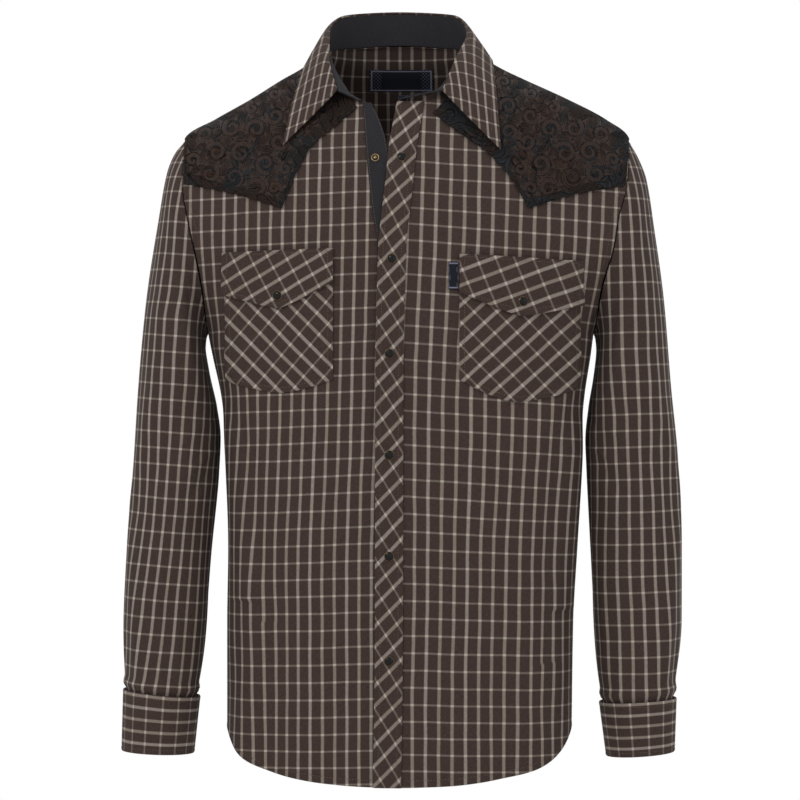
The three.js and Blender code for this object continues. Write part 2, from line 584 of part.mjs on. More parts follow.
shirt.add(frontYoke("yoke_front_left", 1, YOKE_LEFT_INNER, YOKE_LEFT_OUTER));

// Back yoke: two points below, the shoulders and the neck above
function backYokeLow(u) {
  const wide = Math.abs(u * 2 - 1);
  const side = u < 0.5 ? -1 : 1;
  const sideX = armholeX[sideName(side)](BACK_YOKE.sideZ) - 2 * SEAM_GAP;
  const pointAt = 0.5;
  if (wide <= pointAt) {
    const part = wide / pointAt;
    return { x: side * BACK_YOKE.pointX * part, z: mix(BACK_YOKE.centreZ, BACK_YOKE.pointZ, part ** 1.25) };
  }
  const part = (wide - pointAt) / (1 - pointAt);
  return { x: side * mix(BACK_YOKE.pointX, sideX, part), z: mix(BACK_YOKE.pointZ, BACK_YOKE.sideZ, part ** 0.9) };
}
const YOKE_NECK_DROP = 4; // the yoke stops this far below the neck seam, under the collar
function backYokeHigh(u) {
  const wide = Math.abs(u * 2 - 1);
  const side = u < 0.5 ? -1 : 1;
  const shoulderAt = 0.46;
  if (wide >= shoulderAt) {
    const point = ridge(side, (wide - shoulderAt) / (1 - shoulderAt));
    return { share: side, x: side * point.x, z: point.z };
  }
  const at = (side * wide) / (2 * shoulderAt);
  const z = neckSeam(at).z - mix(NECK_POINT_Z - YOKE_NECK_Z, YOKE_NECK_DROP, ease(1 - wide / shoulderAt));
  return { x: formPoint(1, 2 * at, z).x, z };
}
shirt.add(
  wall("yoke_back", embroidered, 30, 10, YOKE_CLOTH, (u, v, depth) => {
    const low = backYokeLow(u);
    const high = backYokeHigh(u);
    const part = toRidge(v);
    const z = mix(low.z, high.z, part);
    const onRidge = v === 1 && high.share;
    return onBody(1, onRidge ? high.share : shareAt(1, mix(low.x, high.x, part), z), z, YOKE_LIFT - depth);
  }),
);

// Plackets: the facing strip on the right front, and the bias strip of the left front over it
const STRIP_ROWS = [...LOW_ROWS, ...ARM_ROWS, ...spread(ARMHOLE_TOP_Z, STAND_END_RIGHT.z - 1, 3), STAND_END_RIGHT.z - 1];
const FACING_LIFT = LAYER_GAP + STRIP_CLOTH;
const PLACKET_LIFT = FRONT_RISE + LAYER_GAP - 0.3 + PLACKET_CLOTH;

shirt.add(
  wall("placket_under", chambray, 2, STRIP_ROWS, STRIP_CLOTH, (u, row, depth) => {
    const share = shareAt(-1, facingEdge(row) + facingWidth(row) * u, row);
    return onBody(-1, share, tailHeight(-1, share, row), FACING_LIFT - depth);
  }),
);
shirt.add(
  wall("placket_over", plaid, 2, STRIP_ROWS, PLACKET_CLOTH, (u, row, depth) => {
    const share = shareAt(-1, placketMiddle(row) + PLACKET_WIDTH * (u - 0.5), row);
    return onBody(-1, share, tailHeight(-1, share, row), PLACKET_LIFT - depth);
  }),
);

// Collar: a stand sewn to the neck seam, and a leaf that rolls over its top
const collarCurves = Object.fromEntries(
  ["foldX", "foldY", "foldZ", "edgeX", "edgeZ", "lift"].map((column) => [column, curve(COLLAR, "at", column)]),
);
const foldPoint = (at) => new THREE.Vector3(collarCurves.foldX(at), collarCurves.foldY(at), collarCurves.foldZ(at));

function edgePoint(at) {
  const [x, z] = [collarCurves.edgeX(at), collarCurves.edgeZ(at)];
  const lift = YOKE_LIFT + collarCurves.lift(at);
  return Math.abs(at) <= 0.5 ? onBody(1, 2 * at, z, lift) : atX(-1, x, z, lift);
}

function seamPoint(at) {
  const { x, z } = neckSeam(at);
  const ontoPlacket = (PLACKET_LIFT - FRONT_RISE) * ease((at - 0.9) / 0.12);
  const lift = at > 0.5 ? leftRise(x, z) + ontoPlacket : 0;
  return Math.abs(at) <= 0.5 ? onBody(1, 2 * at, z, lift) : onBody(-1, shareAt(-1, x, z), z, lift);
}

const LEAF_END = COLLAR[COLLAR.length - 1].at;
const END_HEIGHT = 5; // height of the stand at its rounded front ends

// Point of the stand's outer face, from the neck seam to the fold
function standPoint(at, up) {
  const seam = seamPoint(at);
  const reach = Math.min(Math.abs(at), LEAF_END) * Math.sign(at);
  const rise = foldPoint(reach).sub(seamPoint(reach));
  const end = Math.abs(at < 0 ? STAND_END_RIGHT.at : STAND_END_LEFT.at);
  const past = clamp01((Math.abs(at) - LEAF_END) / (end - LEAF_END));
  const height = mix(rise.length(), END_HEIGHT, past);
  return seam.addScaledVector(rise.normalize(), mix(LAYER_GAP, height, up));
}

// A surface moved inwards or outwards along its own normal
function offset(surface, u, v, distance, step = 0.004) {
  const across = surface(u + step, v).sub(surface(u - step, v));
  const along = surface(u, Math.min(1, v + step)).sub(surface(u, Math.max(0, v - step)));
  return surface(u, v).addScaledVector(across.cross(along).normalize(), distance);
}

const STAND_STEPS = 30;
const standAt = [
  ...spread(STAND_END_RIGHT.at + 0.01, -LEAF_END, 2),
  ...spread(-LEAF_END, LEAF_END, STAND_STEPS),
  ...spread(LEAF_END, STAND_END_LEFT.at - 0.01, 4),
  STAND_END_LEFT.at - 0.01,
];
shirt.add(
  wall("collar_stand", chambray, standAt, 2, STAND_CLOTH, (u, v, depth) => offset(standPoint, u, v, depth)),
);

const ROLL_UP = 2.8;
const ROLL_OUT = 8;

// Point of the middle of the leaf: it starts above the stand, rolls outwards and falls to its edge
function leafPoint(at, down) {
  const fold = foldPoint(at);
  const edge = edgePoint(at);
  const up = fold.clone().sub(seamPoint(at)).normalize();
  const fall = edge.clone().sub(fold);
  const out = fall.clone().addScaledVector(up, -fall.dot(up)).normalize();
  const start = fold.clone().addScaledVector(up, ROLL_UP).addScaledVector(out, -STAND_CLOTH);
  const roll = fold.clone().addScaledVector(up, ROLL_UP + 1).addScaledVector(out, ROLL_OUT);
  const rest = 1 - down;
  return start
    .multiplyScalar(rest * rest)
    .addScaledVector(roll, 2 * rest * down)
    .addScaledVector(edge, down * down);
}
const LEAF_DOWN = [0, 0.1, 0.22, 0.4, 0.7, 1];
shirt.add(
  wall("collar_leaf", plaid, spread(-LEAF_END, LEAF_END, 30).concat(LEAF_END), LEAF_DOWN, LEAF_CLOTH, (u, v, depth) =>
    offset(leafPoint, u, v, LEAF_CLOTH / 2 - depth),
  ),
);

// Sleeves: rings that turn from the upright armhole to the level cuff
const TUBE_COLUMNS = ["outX", "outZ", "inX", "inZ", "front", "back", "forward"];
const tubeCurves = (rows) => Object.fromEntries(TUBE_COLUMNS.map((column) => [column, curve(rows, "at", column)]));
const ARMHOLE_FADE = 0.16;
const SEAM_TURN = 0.05; // over this share of the sleeve its wall turns from the body's seam to its own direction

function sleeveFold(angle, at) {
  return SLEEVE_FOLDS.reduce((sum, fold) => {
    const down = (at - fold.top) / (fold.end - fold.top);
    if (down <= 0 || down >= 1) return sum;
    let away = angle - mix(fold.topAngle, fold.endAngle, down);
    away -= 360 * Math.round(away / 360);
    return sum + fold.high * Math.exp(-((away / fold.width) ** 2)) * Math.sin(Math.PI * down) ** 0.8;
  }, 0);
}

// Point of a tube's outer surface: 0 degrees is its outer edge, 90 its front, 180 its inner edge
function tubePoint(curves, side, angle, at) {
  const turn = radians(angle);
  const outer = (1 + Math.cos(turn)) / 2;
  const z = mix(curves.inZ(at), curves.outZ(at), outer);
  let x = mix(curves.inX(at), curves.outX(at), outer);
  if (curves.joinsBody && at < ARMHOLE_FADE) {
    const seamZ = armholeHeight(angle);
    const straight = mix(curves.inX(0), curves.outX(0), outer);
    x += (armholeX[sideName(side)](seamZ) + SEAM_GAP - straight) * (1 - ease(at / ARMHOLE_FADE));
  }
  const reach = Math.sin(turn) > 0 ? curves.front(at) : curves.back(at);
  return new THREE.Vector3(side * x, -Math.sin(turn) * reach - curves.forward(at), z);
}

function onTube(curves, side, angle, at, lift) {
  const point = tubePoint(curves, side, angle, at);
  const round = tubePoint(curves, side, angle + 1, at).sub(tubePoint(curves, side, angle - 1, at));
  const along = tubePoint(curves, side, angle, Math.min(1, at + 0.01)).sub(
    tubePoint(curves, side, angle, Math.max(0, at - 0.01)),
  );
  const out = round.cross(along).normalize().multiplyScalar(side);
  if (!curves.joinsBody) return point.addScaledVector(out, lift);
  const folded = sleeveFold(angle, at) * ease((1 - at) / 0.03);
  if (at < SEAM_TURN) {
    const seamZ = armholeHeight(angle);
    const face = Math.sin(radians(angle)) > 0 ? -1 : 1;
    const share = shareAt(face, side * armholeX[sideName(side)](seamZ), seamZ);
    const upper = ease(1 + Math.cos(radians(angle)));
    out.lerp(bodyNormal(face, share, seamZ), upper * (1 - ease(at / SEAM_TURN))).normalize();
  }
  return point.addScaledVector(out, lift + folded);
}

const SLEEVES = [
  { name: "right", side: -1, sleeve: tubeCurves(SLEEVE_RIGHT), cuff: tubeCurves(CUFF_RIGHT) },
  { name: "left", side: 1, sleeve: tubeCurves(SLEEVE_LEFT), cuff: tubeCurves(CUFF_LEFT) },
];
const SLEEVE_ROWS = [0, 0.02, 0.045, 0.075, 0.11, ...spread(0.15, 1, 15), 1];
const CUFF_LIFT = LAYER_GAP + CUFF_CLOTH;
const CUFF_GROWTH = CUFF_CLOTH + LAYER_GAP; // the lap lies over the cuff's own start

for (const { name, side, sleeve, cuff } of SLEEVES) {
  sleeve.joinsBody = true;
  shirt.add(
    wall(`sleeve_${name}`, plaid, SLEEVE_COLUMNS, SLEEVE_ROWS, CLOTH, (u, v, depth) => onTube(sleeve, side, u * 360, v, -depth), true),
  );
  const cuffPoint = (u, v, lift) =>
    onTube(cuff, side, CUFF_START + u * (360 + CUFF_LAP), v, CUFF_LIFT + CUFF_GROWTH * u + lift);
  shirt.add(wall(`cuff_${name}`, plaid, (360 + CUFF_LAP) / COLUMN_ANGLE, 2, CUFF_CLOTH, (u, v, depth) => cuffPoint(u, v, -depth)));

  // Placket of the sleeve's slit, above the place where the cuff opens
  const stripMiddle = CUFF_START + CUFF_LAP / 2;
  shirt.add(
    wall(`sleeve_placket_${name}`, plaid, 2, 6, CLOTH, (u, v, depth) =>
      onTube(sleeve, side, stripMiddle + COLUMN_ANGLE * (2 * u - 1), mix(SLIT.from, SLIT.to, v), LAYER_GAP + CLOTH - depth),
    ),
  );
  for (const [i, along] of [0.3, 0.72].entries()) {
    const u = 1 - CUFF_LAP / 2 / (360 + CUFF_LAP);
    const foot = cuffPoint(u, along, SEAM_GAP);
    const top = cuffPoint(u, along, SEAM_GAP + 1);
    shirt.add(snapCap(`cuff_snap_${name}_${i + 1}`, foot, top.sub(foot)));
  }
}

// Pockets and their flaps
const POCKET_LIFT = 1 + CLOTH;
const FLAP_LIFT = POCKET_LIFT + 0.5 + FLAP_CLOTH;
const FLAP_SPRING = 1.6; // the flap's lower edge stands this much further out

function pocketLow(pocket, x) {
  const near = Math.abs((x - pocket.lowX) / (pocket.nearX - pocket.lowX));
  const far = Math.abs((x - pocket.lowX) / (pocket.farX - pocket.lowX));
  const towardsNear = (x - pocket.lowX) * (pocket.nearX - pocket.lowX) > 0;
  const share = towardsNear ? near : far;
  return mix(pocket.lowZ, towardsNear ? pocket.nearZ : pocket.farZ, share ** 1.5);
}
function flapLow(pocket, x) {
  const towardsNear = (x - pocket.flapX) * (pocket.nearX - pocket.flapX) > 0;
  const end = towardsNear ? pocket.nearX : pocket.farX;
  const share = Math.abs((x - pocket.flapX) / (end - pocket.flapX));
  return mix(pocket.flapLowZ, towardsNear ? pocket.flapNearZ : pocket.flapFarZ, share ** 1.2);
}

for (const [name, pocket] of Object.entries(POCKETS)) {
  const rise = (x, z) => (pocket.side > 0 ? leftRise(x, z) : 0);
  shirt.add(
    wall(`pocket_${name}`, plaid, 12, 5, CLOTH, (u, v, depth) => {
      const x = mix(pocket.nearX, pocket.farX, u);
      const z = mix(pocketLow(pocket, x), mix(pocket.topNearZ, pocket.topFarZ, u) + 26, v);
      return atX(-1, x, z, rise(x, z) + POCKET_LIFT - depth);
    }),
  );
  shirt.add(
    wall(`flap_${name}`, plaid, 8, 4, FLAP_CLOTH, (u, v, depth) => {
      const x = mix(pocket.nearX, pocket.farX - pocket.side * -2, u);
      const z = mix(flapLow(pocket, x), mix(pocket.flapTopNearZ, pocket.flapTopFarZ, u), v);
      return atX(-1, x, z, rise(x, z) + FLAP_LIFT + FLAP_SPRING * (1 - v) - depth);
    }),
  );
  const springAtSnap = FLAP_SPRING * 0.8;
  const lift = rise(pocket.snapX, pocket.snapZ) + FLAP_LIFT + springAtSnap + SEAM_GAP;
  const foot = atX(-1, pocket.snapX, pocket.snapZ, lift);
  shirt.add(snapCap(`pocket_snap_${name}`, foot, atX(-1, pocket.snapX, pocket.snapZ, lift + 1).sub(foot)));
}

// Snaps
function turned(name, material, profile, foot, outwards, sides) {
  const geometry = new THREE.LatheGeometry(profile.map(([radius, height]) => new THREE.Vector2(radius, height)), sides);
  const made = new THREE.Mesh(geometry, material);
  made.name = name;
  made.position.copy(foot);
  made.quaternion.setFromUnitVectors(new THREE.Vector3(0, 1, 0), outwards.clone().normalize());
  return made;
}
function snapCap(name, foot, outwards) {
  const profile = [
    [0, 0],
    [SNAP_RADIUS, 0],
    [SNAP_RADIUS, 0.8],
    [SNAP_RADIUS * 0.86, SNAP_HEIGHT * 0.66],
    [SNAP_RADIUS * 0.5, SNAP_HEIGHT * 0.92],
    [0, SNAP_HEIGHT],
  ];
  return turned(name, enamel, profile, foot, outwards, 10);
}
SNAP_Z.forEach((z, i) => {
  const x = placketMiddle(z);
  const foot = atX(-1, x, z, PLACKET_LIFT + SEAM_GAP);
  shirt.add(snapCap(`snap_${i + 1}`, foot, atX(-1, x, z, PLACKET_LIFT + 1).sub(foot)));
});
const studFoot = atX(-1, OPEN_SNAP.x, OPEN_SNAP.z, FACING_LIFT + SEAM_GAP);
const studProfile = [
  [0, 0],
  [4.4, 0],
  [4.4, 0.8],
  [3.6, 1.1],
  [3.0, 0.6],
  [1.9, 0.6],
  [1.7, 1.9],
  [0, 2.2],
];
shirt.add(
  turned("open_stud", brass, studProfile, studFoot, atX(-1, OPEN_SNAP.x, OPEN_SNAP.z, FACING_LIFT + 2).sub(studFoot), 12),
);

// Woven labels: one inside the neck, a small one below it, and one beside the left pocket
function label(name, face, place, columns, lift) {
  return wall(name, woven, columns, 1, LABEL_CLOTH, (u, v, depth) =>
    atX(face, mix(place.fromX, place.toX, u), mix(place.bottomZ, place.topZ, v), lift - depth),
  );
}
shirt.add(label("neck_label", 1, NECK_LABEL, 4, -CLOTH - 0.8));
shirt.add(label("size_tab", 1, SIZE_TAB, 1, -CLOTH - 0.5));
shirt.add(label("pocket_tab", -1, POCKET_TAB, 1, leftRise(POCKET_TAB.toX, POCKET_TAB.topZ) + LAYER_GAP + LABEL_CLOTH));

export default shirt;
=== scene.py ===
import math

import bpy
import numpy as np
from mathutils import Matrix, Vector


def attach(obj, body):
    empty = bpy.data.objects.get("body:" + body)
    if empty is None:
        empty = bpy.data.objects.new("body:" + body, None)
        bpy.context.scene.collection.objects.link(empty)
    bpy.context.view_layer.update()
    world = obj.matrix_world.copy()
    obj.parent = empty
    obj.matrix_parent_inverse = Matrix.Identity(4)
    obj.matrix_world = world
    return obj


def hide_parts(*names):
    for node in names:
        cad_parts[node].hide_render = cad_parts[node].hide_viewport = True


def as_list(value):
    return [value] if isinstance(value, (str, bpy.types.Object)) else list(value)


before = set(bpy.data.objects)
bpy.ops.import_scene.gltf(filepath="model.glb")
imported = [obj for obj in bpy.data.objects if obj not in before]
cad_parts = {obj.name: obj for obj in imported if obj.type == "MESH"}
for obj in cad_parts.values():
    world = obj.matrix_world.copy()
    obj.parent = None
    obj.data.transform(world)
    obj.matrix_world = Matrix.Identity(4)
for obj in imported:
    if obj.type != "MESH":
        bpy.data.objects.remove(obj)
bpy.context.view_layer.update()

# ---------------------------------------------------------------------------
# The body's form, on a general figure: the sizes and functions that the CAD's solids have too, apart from the
# collar's table, whose fold and outer edge lie a few millimetres lower here
CLOTH, YOKE_CLOTH, STRIP_CLOTH, PLACKET_CLOTH, FLAP_CLOTH = 1.2, 1.8, 1.2, 1.8, 1.6
STAND_CLOTH, LEAF_CLOTH, CUFF_CLOTH, LABEL_CLOTH = 1.8, 2.0, 2.2, 1.0
SEAM_GAP, LAYER_GAP = 0.3, 0.7
HEM_Z, HEM_RISE, TAIL_TOP_Z, YOKE_SEAM_Z = -752, 58, -560, -6
NECK_POINT_Z, BACK_NECK_Z = 28, 43.5
ARMHOLE_TOP_Z, ARMHOLE_BOTTOM_Z, ARMHOLE_FRONT, ARMHOLE_BACK = -66, -273, 72, 78
PLACKET_WIDTH = 29.4


def table(columns, *rows):
    return [dict(zip(columns.split(), row)) for row in rows]


# Half widths of the body, and its depth and squareness in front and behind
SIDES = table(
    "z right left",
    (-765, 186, 184), (-583, 186, 186.5), (-497, 184.7, 191), (-410, 187, 195.5), (-365, 189.5, 196.5),
    (-341, 192.5, 198.7), (-299, 201.5, 205), (-273, 206.5, 208.5), (-66, 231, 246), (-45.5, 198, 221),
    (-24, 160, 180), (-2.7, 126, 133.5), (9, 105.5, 109), (18, 93, 94), (28, 83, 82), (34, 82, 82), (46, 80, 80),
)
DEPTHS = table(
    "z front back square_front square_back",
    (-765, 108, 118, 2.9, 2.4), (-583, 108, 115, 2.9, 2.4), (-410, 112, 117, 2.85, 2.4),
    (-273, 118, 130, 2.7, 2.35), (-200, 118, 132, 2.5, 2.3), (-119, 108, 125, 2.2, 2.15),
    (-66, 93, 112, 2, 2), (-43, 82, 104, 2, 2), (-21, 70, 96, 2, 2), (0, 52, 87, 2, 2),
    (12, 40, 80, 2, 2), (28, 24, 74, 2, 2), (39, 18, 72.5, 2, 2), (44, 16, 69, 2, 2),
)
ARMHOLE = table(
    "z right left",
    (-273, 206.5, 208.5), (-225, 211, 215), (-187, 218, 226), (-150, 226, 232.5), (-119, 231, 241), (-66, 231, 246),
)
# The collar from its end on the wearer's right, over the shoulders at -0.5 and 0.5, to its end on the left
COLLAR = table(
    "at seam_x seam_z fold_x fold_y fold_z edge_x edge_z lift",
    (-0.95, -53, -23, -66, -84, -20, -122, -80.5, 4.5),
    (-0.75, -66, -2, -75.5, -53, 15, -110, -24, 2.6),
    (-0.5, -83, 28, -78, 0, 50, -96, 16, 1.8),
    (-0.28, -62, 38, -62, 49, 72, -71, 28, 9),
    (0, 0, 43.5, 0, 75, 78.5, 0, 33, 12),
    (0.28, 62, 38, 62, 49, 72, 71, 28, 9),
    (0.5, 82, 28, 74.5, 0, 48.5, 97, 16, 1.8),
    (0.75, 58, -2, 60.5, -53, 15, 101, -24, 3),
    (0.95, 37, -22, 44.5, -84, -20, 105, -86, 5),
)
STAND_END_RIGHT = {"at": -1.1, "x": -39, "z": -31}
STAND_END_LEFT = {"at": 1.25, "x": -3, "z": -31}
PLACKET = table(
    "z x",
    (-765, -13.8), (-607, -11.7), (-304, -11), (-234, -9.4), (-184, -8), (-152, -4.8), (-113, -0.2), (-77, 3.3),
    (-54, 7.4), (-31, 11.6),
)
FACING = table(
    "z x width",
    (-765, -27, 24.5), (-304, -24.5, 24.5), (-183, -24, 24.5), (-152, -28.3, 24.5), (-125, -31.4, 24.5),
    (-95, -34.6, 23.5), (-73, -36.3, 21.5), (-53, -37.5, 16.5), (-33, -39, 9),
)
# Soft folds of the body that the CAD has too, then finer ones: where each starts and ends, how far its middle
# bows to one side, its half width and its height or depth
BODY_FOLDS = table(
    "face top_x top_z end_x end_z width high",
    (-1, -150, -470, -172, -770, 15, 3.2), (-1, -120, -500, -143, -770, 14, -3), (-1, -75, -380, -96, -770, 20, 2.2),
    (-1, -186, -335, -165, -520, 13, 2.6), (-1, -168, -350, -146, -540, 11, -2.4), (-1, 128, -420, 140, -780, 17, 3),
    (-1, 100, -440, 110, -780, 14, -2.6), (-1, 52, -360, 60, -780, 20, 2), (-1, 192, -345, 172, -530, 13, 2.6),
    (-1, 172, -360, 156, -580, 12, -2.4),
    (1, -95, -180, -125, -790, 24, 4), (1, -58, -230, -76, -790, 20, -3.5), (1, 4, -260, -6, -790, 24, 2.8),
    (1, 60, -230, 72, -790, 20, -3.5), (1, 98, -180, 128, -790, 24, 4),
)
CREASES = table(
    "face top_x top_z end_x end_z bow width high",
    (-1, -205, -262, -120, -372, 8, 9, 1.5), (-1, -198, -285, -140, -420, 10, 8, -1.3),
    (-1, 205, -262, 138, -392, -8, 9, 1.5), (-1, 200, -292, 150, -430, -9, 8, -1.3),
    (-1, -96, -142, -62, -222, 5, 9, 1.1), (-1, 104, -140, 66, -228, -5, 9, 1.1),
    (-1, -52, -60, -36, -190, 6, 8, 1.0), (-1, 44, -70, 30, -190, -5, 8, 0.9),
    (-1, -176, -420, -150, -640, -7, 10, 1.8), (-1, -160, -560, -178, -740, 5, 9, -1.4),
    (-1, -62, -420, -46, -600, 6, 11, 1.0), (-1, -102, -360, -120, -520, 5, 12, -1.1),
    (-1, 80, -380, 92, -560, -6, 12, 1.1), (-1, 36, -460, 28, -720, 5, 11, -0.9),
    (-1, 160, -470, 176, -730, 6, 10, 1.7), (-1, 150, -620, 134, -745, -5, 10, -1.2),
    (-1, -30, -330, -33, -470, 3, 8, 0.8), (-1, 12, -520, 16, -700, -3, 8, 0.8),
    (1, -206, -262, -110, -330, 12, 12, 2.2), (1, -200, -292, -130, -400, 12, 10, -1.8),
    (1, 206, -262, 112, -340, -12, 12, 2.2), (1, 200, -290, 124, -410, -12, 10, -1.8),
    (1, -150, -400, -168, -700, 8, 13, 2.0), (1, 150, -420, 166, -720, -8, 13, 2.0),
    (1, -34, -300, -42, -600, 6, 12, 1.5), (1, 30, -340, 38, -640, -6, 12, 1.5),
    (1, -170, -180, -90, -210, 6, 9, 1.2), (1, 172, -178, 94, -214, -6, 9, 1.2),
    (1, -100, -520, -90, -740, 5, 11, -1.4), (1, 96, -560, 104, -745, 5, 11, -1.4),
)


def curve(rows, at, column):
    """A smooth curve through one column of a table, with no overshoot between its rows."""
    xs = np.array([row[at] for row in rows], float)
    ys = np.array([row[column] for row in rows], float)
    secants = np.diff(ys) / np.diff(xs)
    slopes = np.concatenate([secants[:1], secants])
    for i in range(1, len(xs) - 1):
        before, after = secants[i - 1], secants[i]
        slopes[i] = 0 if before * after <= 0 else 2 * before * after / (before + after)

    def value(x):
        x = np.asarray(x, float)
        i = np.clip(np.searchsorted(xs, x, side="right") - 1, 0, len(xs) - 2)
        step = xs[i + 1] - xs[i]
        part = (x - xs[i]) / step
        rest = 1 - part
        inside = (
            ys[i] * (1 + 2 * part) * rest * rest
            + ys[i + 1] * part * part * (3 - 2 * part)
            + step * (slopes[i] * part * rest * rest - slopes[i + 1] * part * part * rest)
        )
        low = ys[0] + slopes[0] * (x - xs[0])
        high = ys[-1] + slopes[-1] * (x - xs[-1])
        return np.where(x <= xs[0], low, np.where(x >= xs[-1], high, inside))

    return value


def mix(a, b, part):
    return a + (b - a) * part


def ease(value):
    value = np.clip(value, 0, 1)
    return value * value * (3 - 2 * value)


def unit(vectors):
    return vectors / np.maximum(np.linalg.norm(vectors, axis=-1, keepdims=True), 1e-9)


half_width = {side: curve(SIDES, "z", side) for side in ("right", "left")}
armhole_x = {side: curve(ARMHOLE, "z", side) for side in ("right", "left")}
depth_in = {-1: curve(DEPTHS, "z", "front"), 1: curve(DEPTHS, "z", "back")}
squareness = {-1: curve(DEPTHS, "z", "square_front"), 1: curve(DEPTHS, "z", "square_back")}
ARMHOLE_MIDDLE = (ARMHOLE_TOP_Z + ARMHOLE_BOTTOM_Z) / 2
ARMHOLE_HALF = (ARMHOLE_TOP_Z - ARMHOLE_BOTTOM_Z) / 2
STEPS = 48
ANGLES = (np.pi / 2) * (1 - np.cos(np.linspace(0, np.pi, STEPS + 1))) / 2


def armhole(side, z):
    return np.where(side < 0, armhole_x["right"](z), armhole_x["left"](z))


def section(face, side, z):
    """Width, depth and squareness of the body's section; beside the armhole it passes through the seam."""
    depth, square = depth_in[face](z), squareness[face](z)
    straight = np.where(side < 0, half_width["right"](z), half_width["left"](z))
    height = np.clip((z - ARMHOLE_MIDDLE) / ARMHOLE_HALF, -1, 1)
    seam_depth = (ARMHOLE_FRONT if face < 0 else ARMHOLE_BACK) * np.sqrt(1 - height * height)
    share = (1 - (seam_depth / depth) ** square) ** (1 / square)
    width = np.where((z <= ARMHOLE_BOTTOM_Z) | (z >= ARMHOLE_TOP_Z), straight, armhole(side, z) / share)
    return width, depth, square


def ring(face, side, z):
    width, depth, square = section(face, side, z)
    power = (2 / square)[:, None]
    x = width[:, None] * np.sin(ANGLES) ** power
    y = depth[:, None] * np.clip(np.cos(ANGLES), 0, 1) ** power
    steps = np.hypot(np.diff(x, axis=1), np.diff(y, axis=1))
    return width, depth, square, np.concatenate([np.zeros((len(z), 1)), np.cumsum(steps, axis=1)], axis=1)


def flatten(*values):
    values = np.broadcast_arrays(*[np.asarray(value, float) for value in values])
    return values[0].shape, [value.ravel() for value in values]


def share_at(face, x, z):
    """Share of the quarter's length at which the body is x wide, and that length in millimetres."""
    shape, (x, z) = flatten(x, z)
    width, _, square, lengths = ring(face, np.where(x < 0, -1, 1), z)
    angle = np.arcsin(np.clip(np.abs(x) / width, 0, 1) ** (square / 2))
    step = np.arccos(np.clip(1 - 4 * angle / np.pi, -1, 1)) / np.pi * STEPS
    i = np.clip(step.astype(int), 0, STEPS - 1)
    row = np.arange(len(x))
    length = mix(lengths[row, i], lengths[row, i + 1], step - i)
    return (np.sign(x) * length / lengths[:, -1]).reshape(shape)


def quarter_length(face, share, z):
    shape, (share, z) = flatten(share, z)
    return ring(face, np.where(share < 0, -1, 1), z)[3][:, -1].reshape(shape)


def form_point(face, share, z):
    """Point of the bare body form; a share past 1 goes on round the side to the other face."""
    shape, (share, z) = flatten(share, z)
    side = np.where(share < 0, -1, 1)
    past = np.abs(share) > 1
    points = np.empty((len(z), 3))
    for here, chosen, amount in ((face, ~past, np.abs(share)), (-face, past, 2 - np.abs(share))):
        if not chosen.any():
            continue
        width, depth, square, lengths = ring(here, side[chosen], z[chosen])
        wanted = amount[chosen] * lengths[:, -1]
        i = np.clip((lengths <= wanted[:, None]).sum(axis=1) - 1, 0, STEPS - 1)
        row = np.arange(len(i))
        part = np.clip((wanted - lengths[row, i]) / (lengths[row, i + 1] - lengths[row, i]), 0, 1)
        angle = (np.pi / 2) * (1 - np.cos(np.pi * (i + part) / STEPS)) / 2
        points[chosen, 0] = side[chosen] * width * np.sin(angle) ** (2 / square)
        points[chosen, 1] = here * depth * np.clip(np.cos(angle), 0, 1) ** (2 / square)
        points[chosen, 2] = z[chosen]
    return points.reshape(shape + (3,))


def fold_height(face, x, z):
    total = np.zeros(np.shape(x))
    for fold in BODY_FOLDS:
        if fold["face"] == face:
            down = (fold["top_z"] - z) / (fold["top_z"] - fold["end_z"])
            away = (x - mix(fold["top_x"], fold["end_x"], down)) / fold["width"]
            total += np.where((down > 0) & (down < 1.2), fold["high"] * np.exp(-away * away) * ease(down / 0.35), 0)
    for fold in CREASES:
        if fold["face"] == face:
            run = np.array([fold["end_x"] - fold["top_x"], fold["end_z"] - fold["top_z"]], float)
            length = np.hypot(*run)
            run /= length
            along = ((x - fold["top_x"]) * run[0] + (z - fold["top_z"]) * run[1]) / length
            inside = np.clip(along, 0, 1)
            away = (x - fold["top_x"]) * run[1] - (z - fold["top_z"]) * run[0]
            away = away - 4 * fold["bow"] * inside * (1 - inside)
            fade = np.sin(np.pi * inside) ** 1.3
            total += fold["high"] * np.exp(-((away / fold["width"]) ** 2)) * fade
    return total


def body_normal(face, share, z):
    across = form_point(face, share + 0.004, z) - form_point(face, share - 0.004, z)
    up = form_point(face, share, z + 0.5) - form_point(face, share, z - 0.5)
    return unit(np.cross(across, up)) * -face


def on_body(face, share, z, lift=0.0):
    """Points of the shirt's body moved out from the cloth's outer surface by lift, and their normals."""
    share, z = np.broadcast_arrays(np.asarray(share, float), np.asarray(z, float))
    points, normals = form_point(face, share, z), body_normal(face, share, z)
    folded = fold_height(face, points[..., 0], z) * ease((1 - np.abs(share)) / 0.12)
    points = points + normals * (lift + folded)[..., None]
    points[..., 1] += face * SEAM_GAP / 2
    return points, normals


def at_x(face, x, z, lift=0.0):
    return on_body(face, share_at(face, x, z), z, lift)


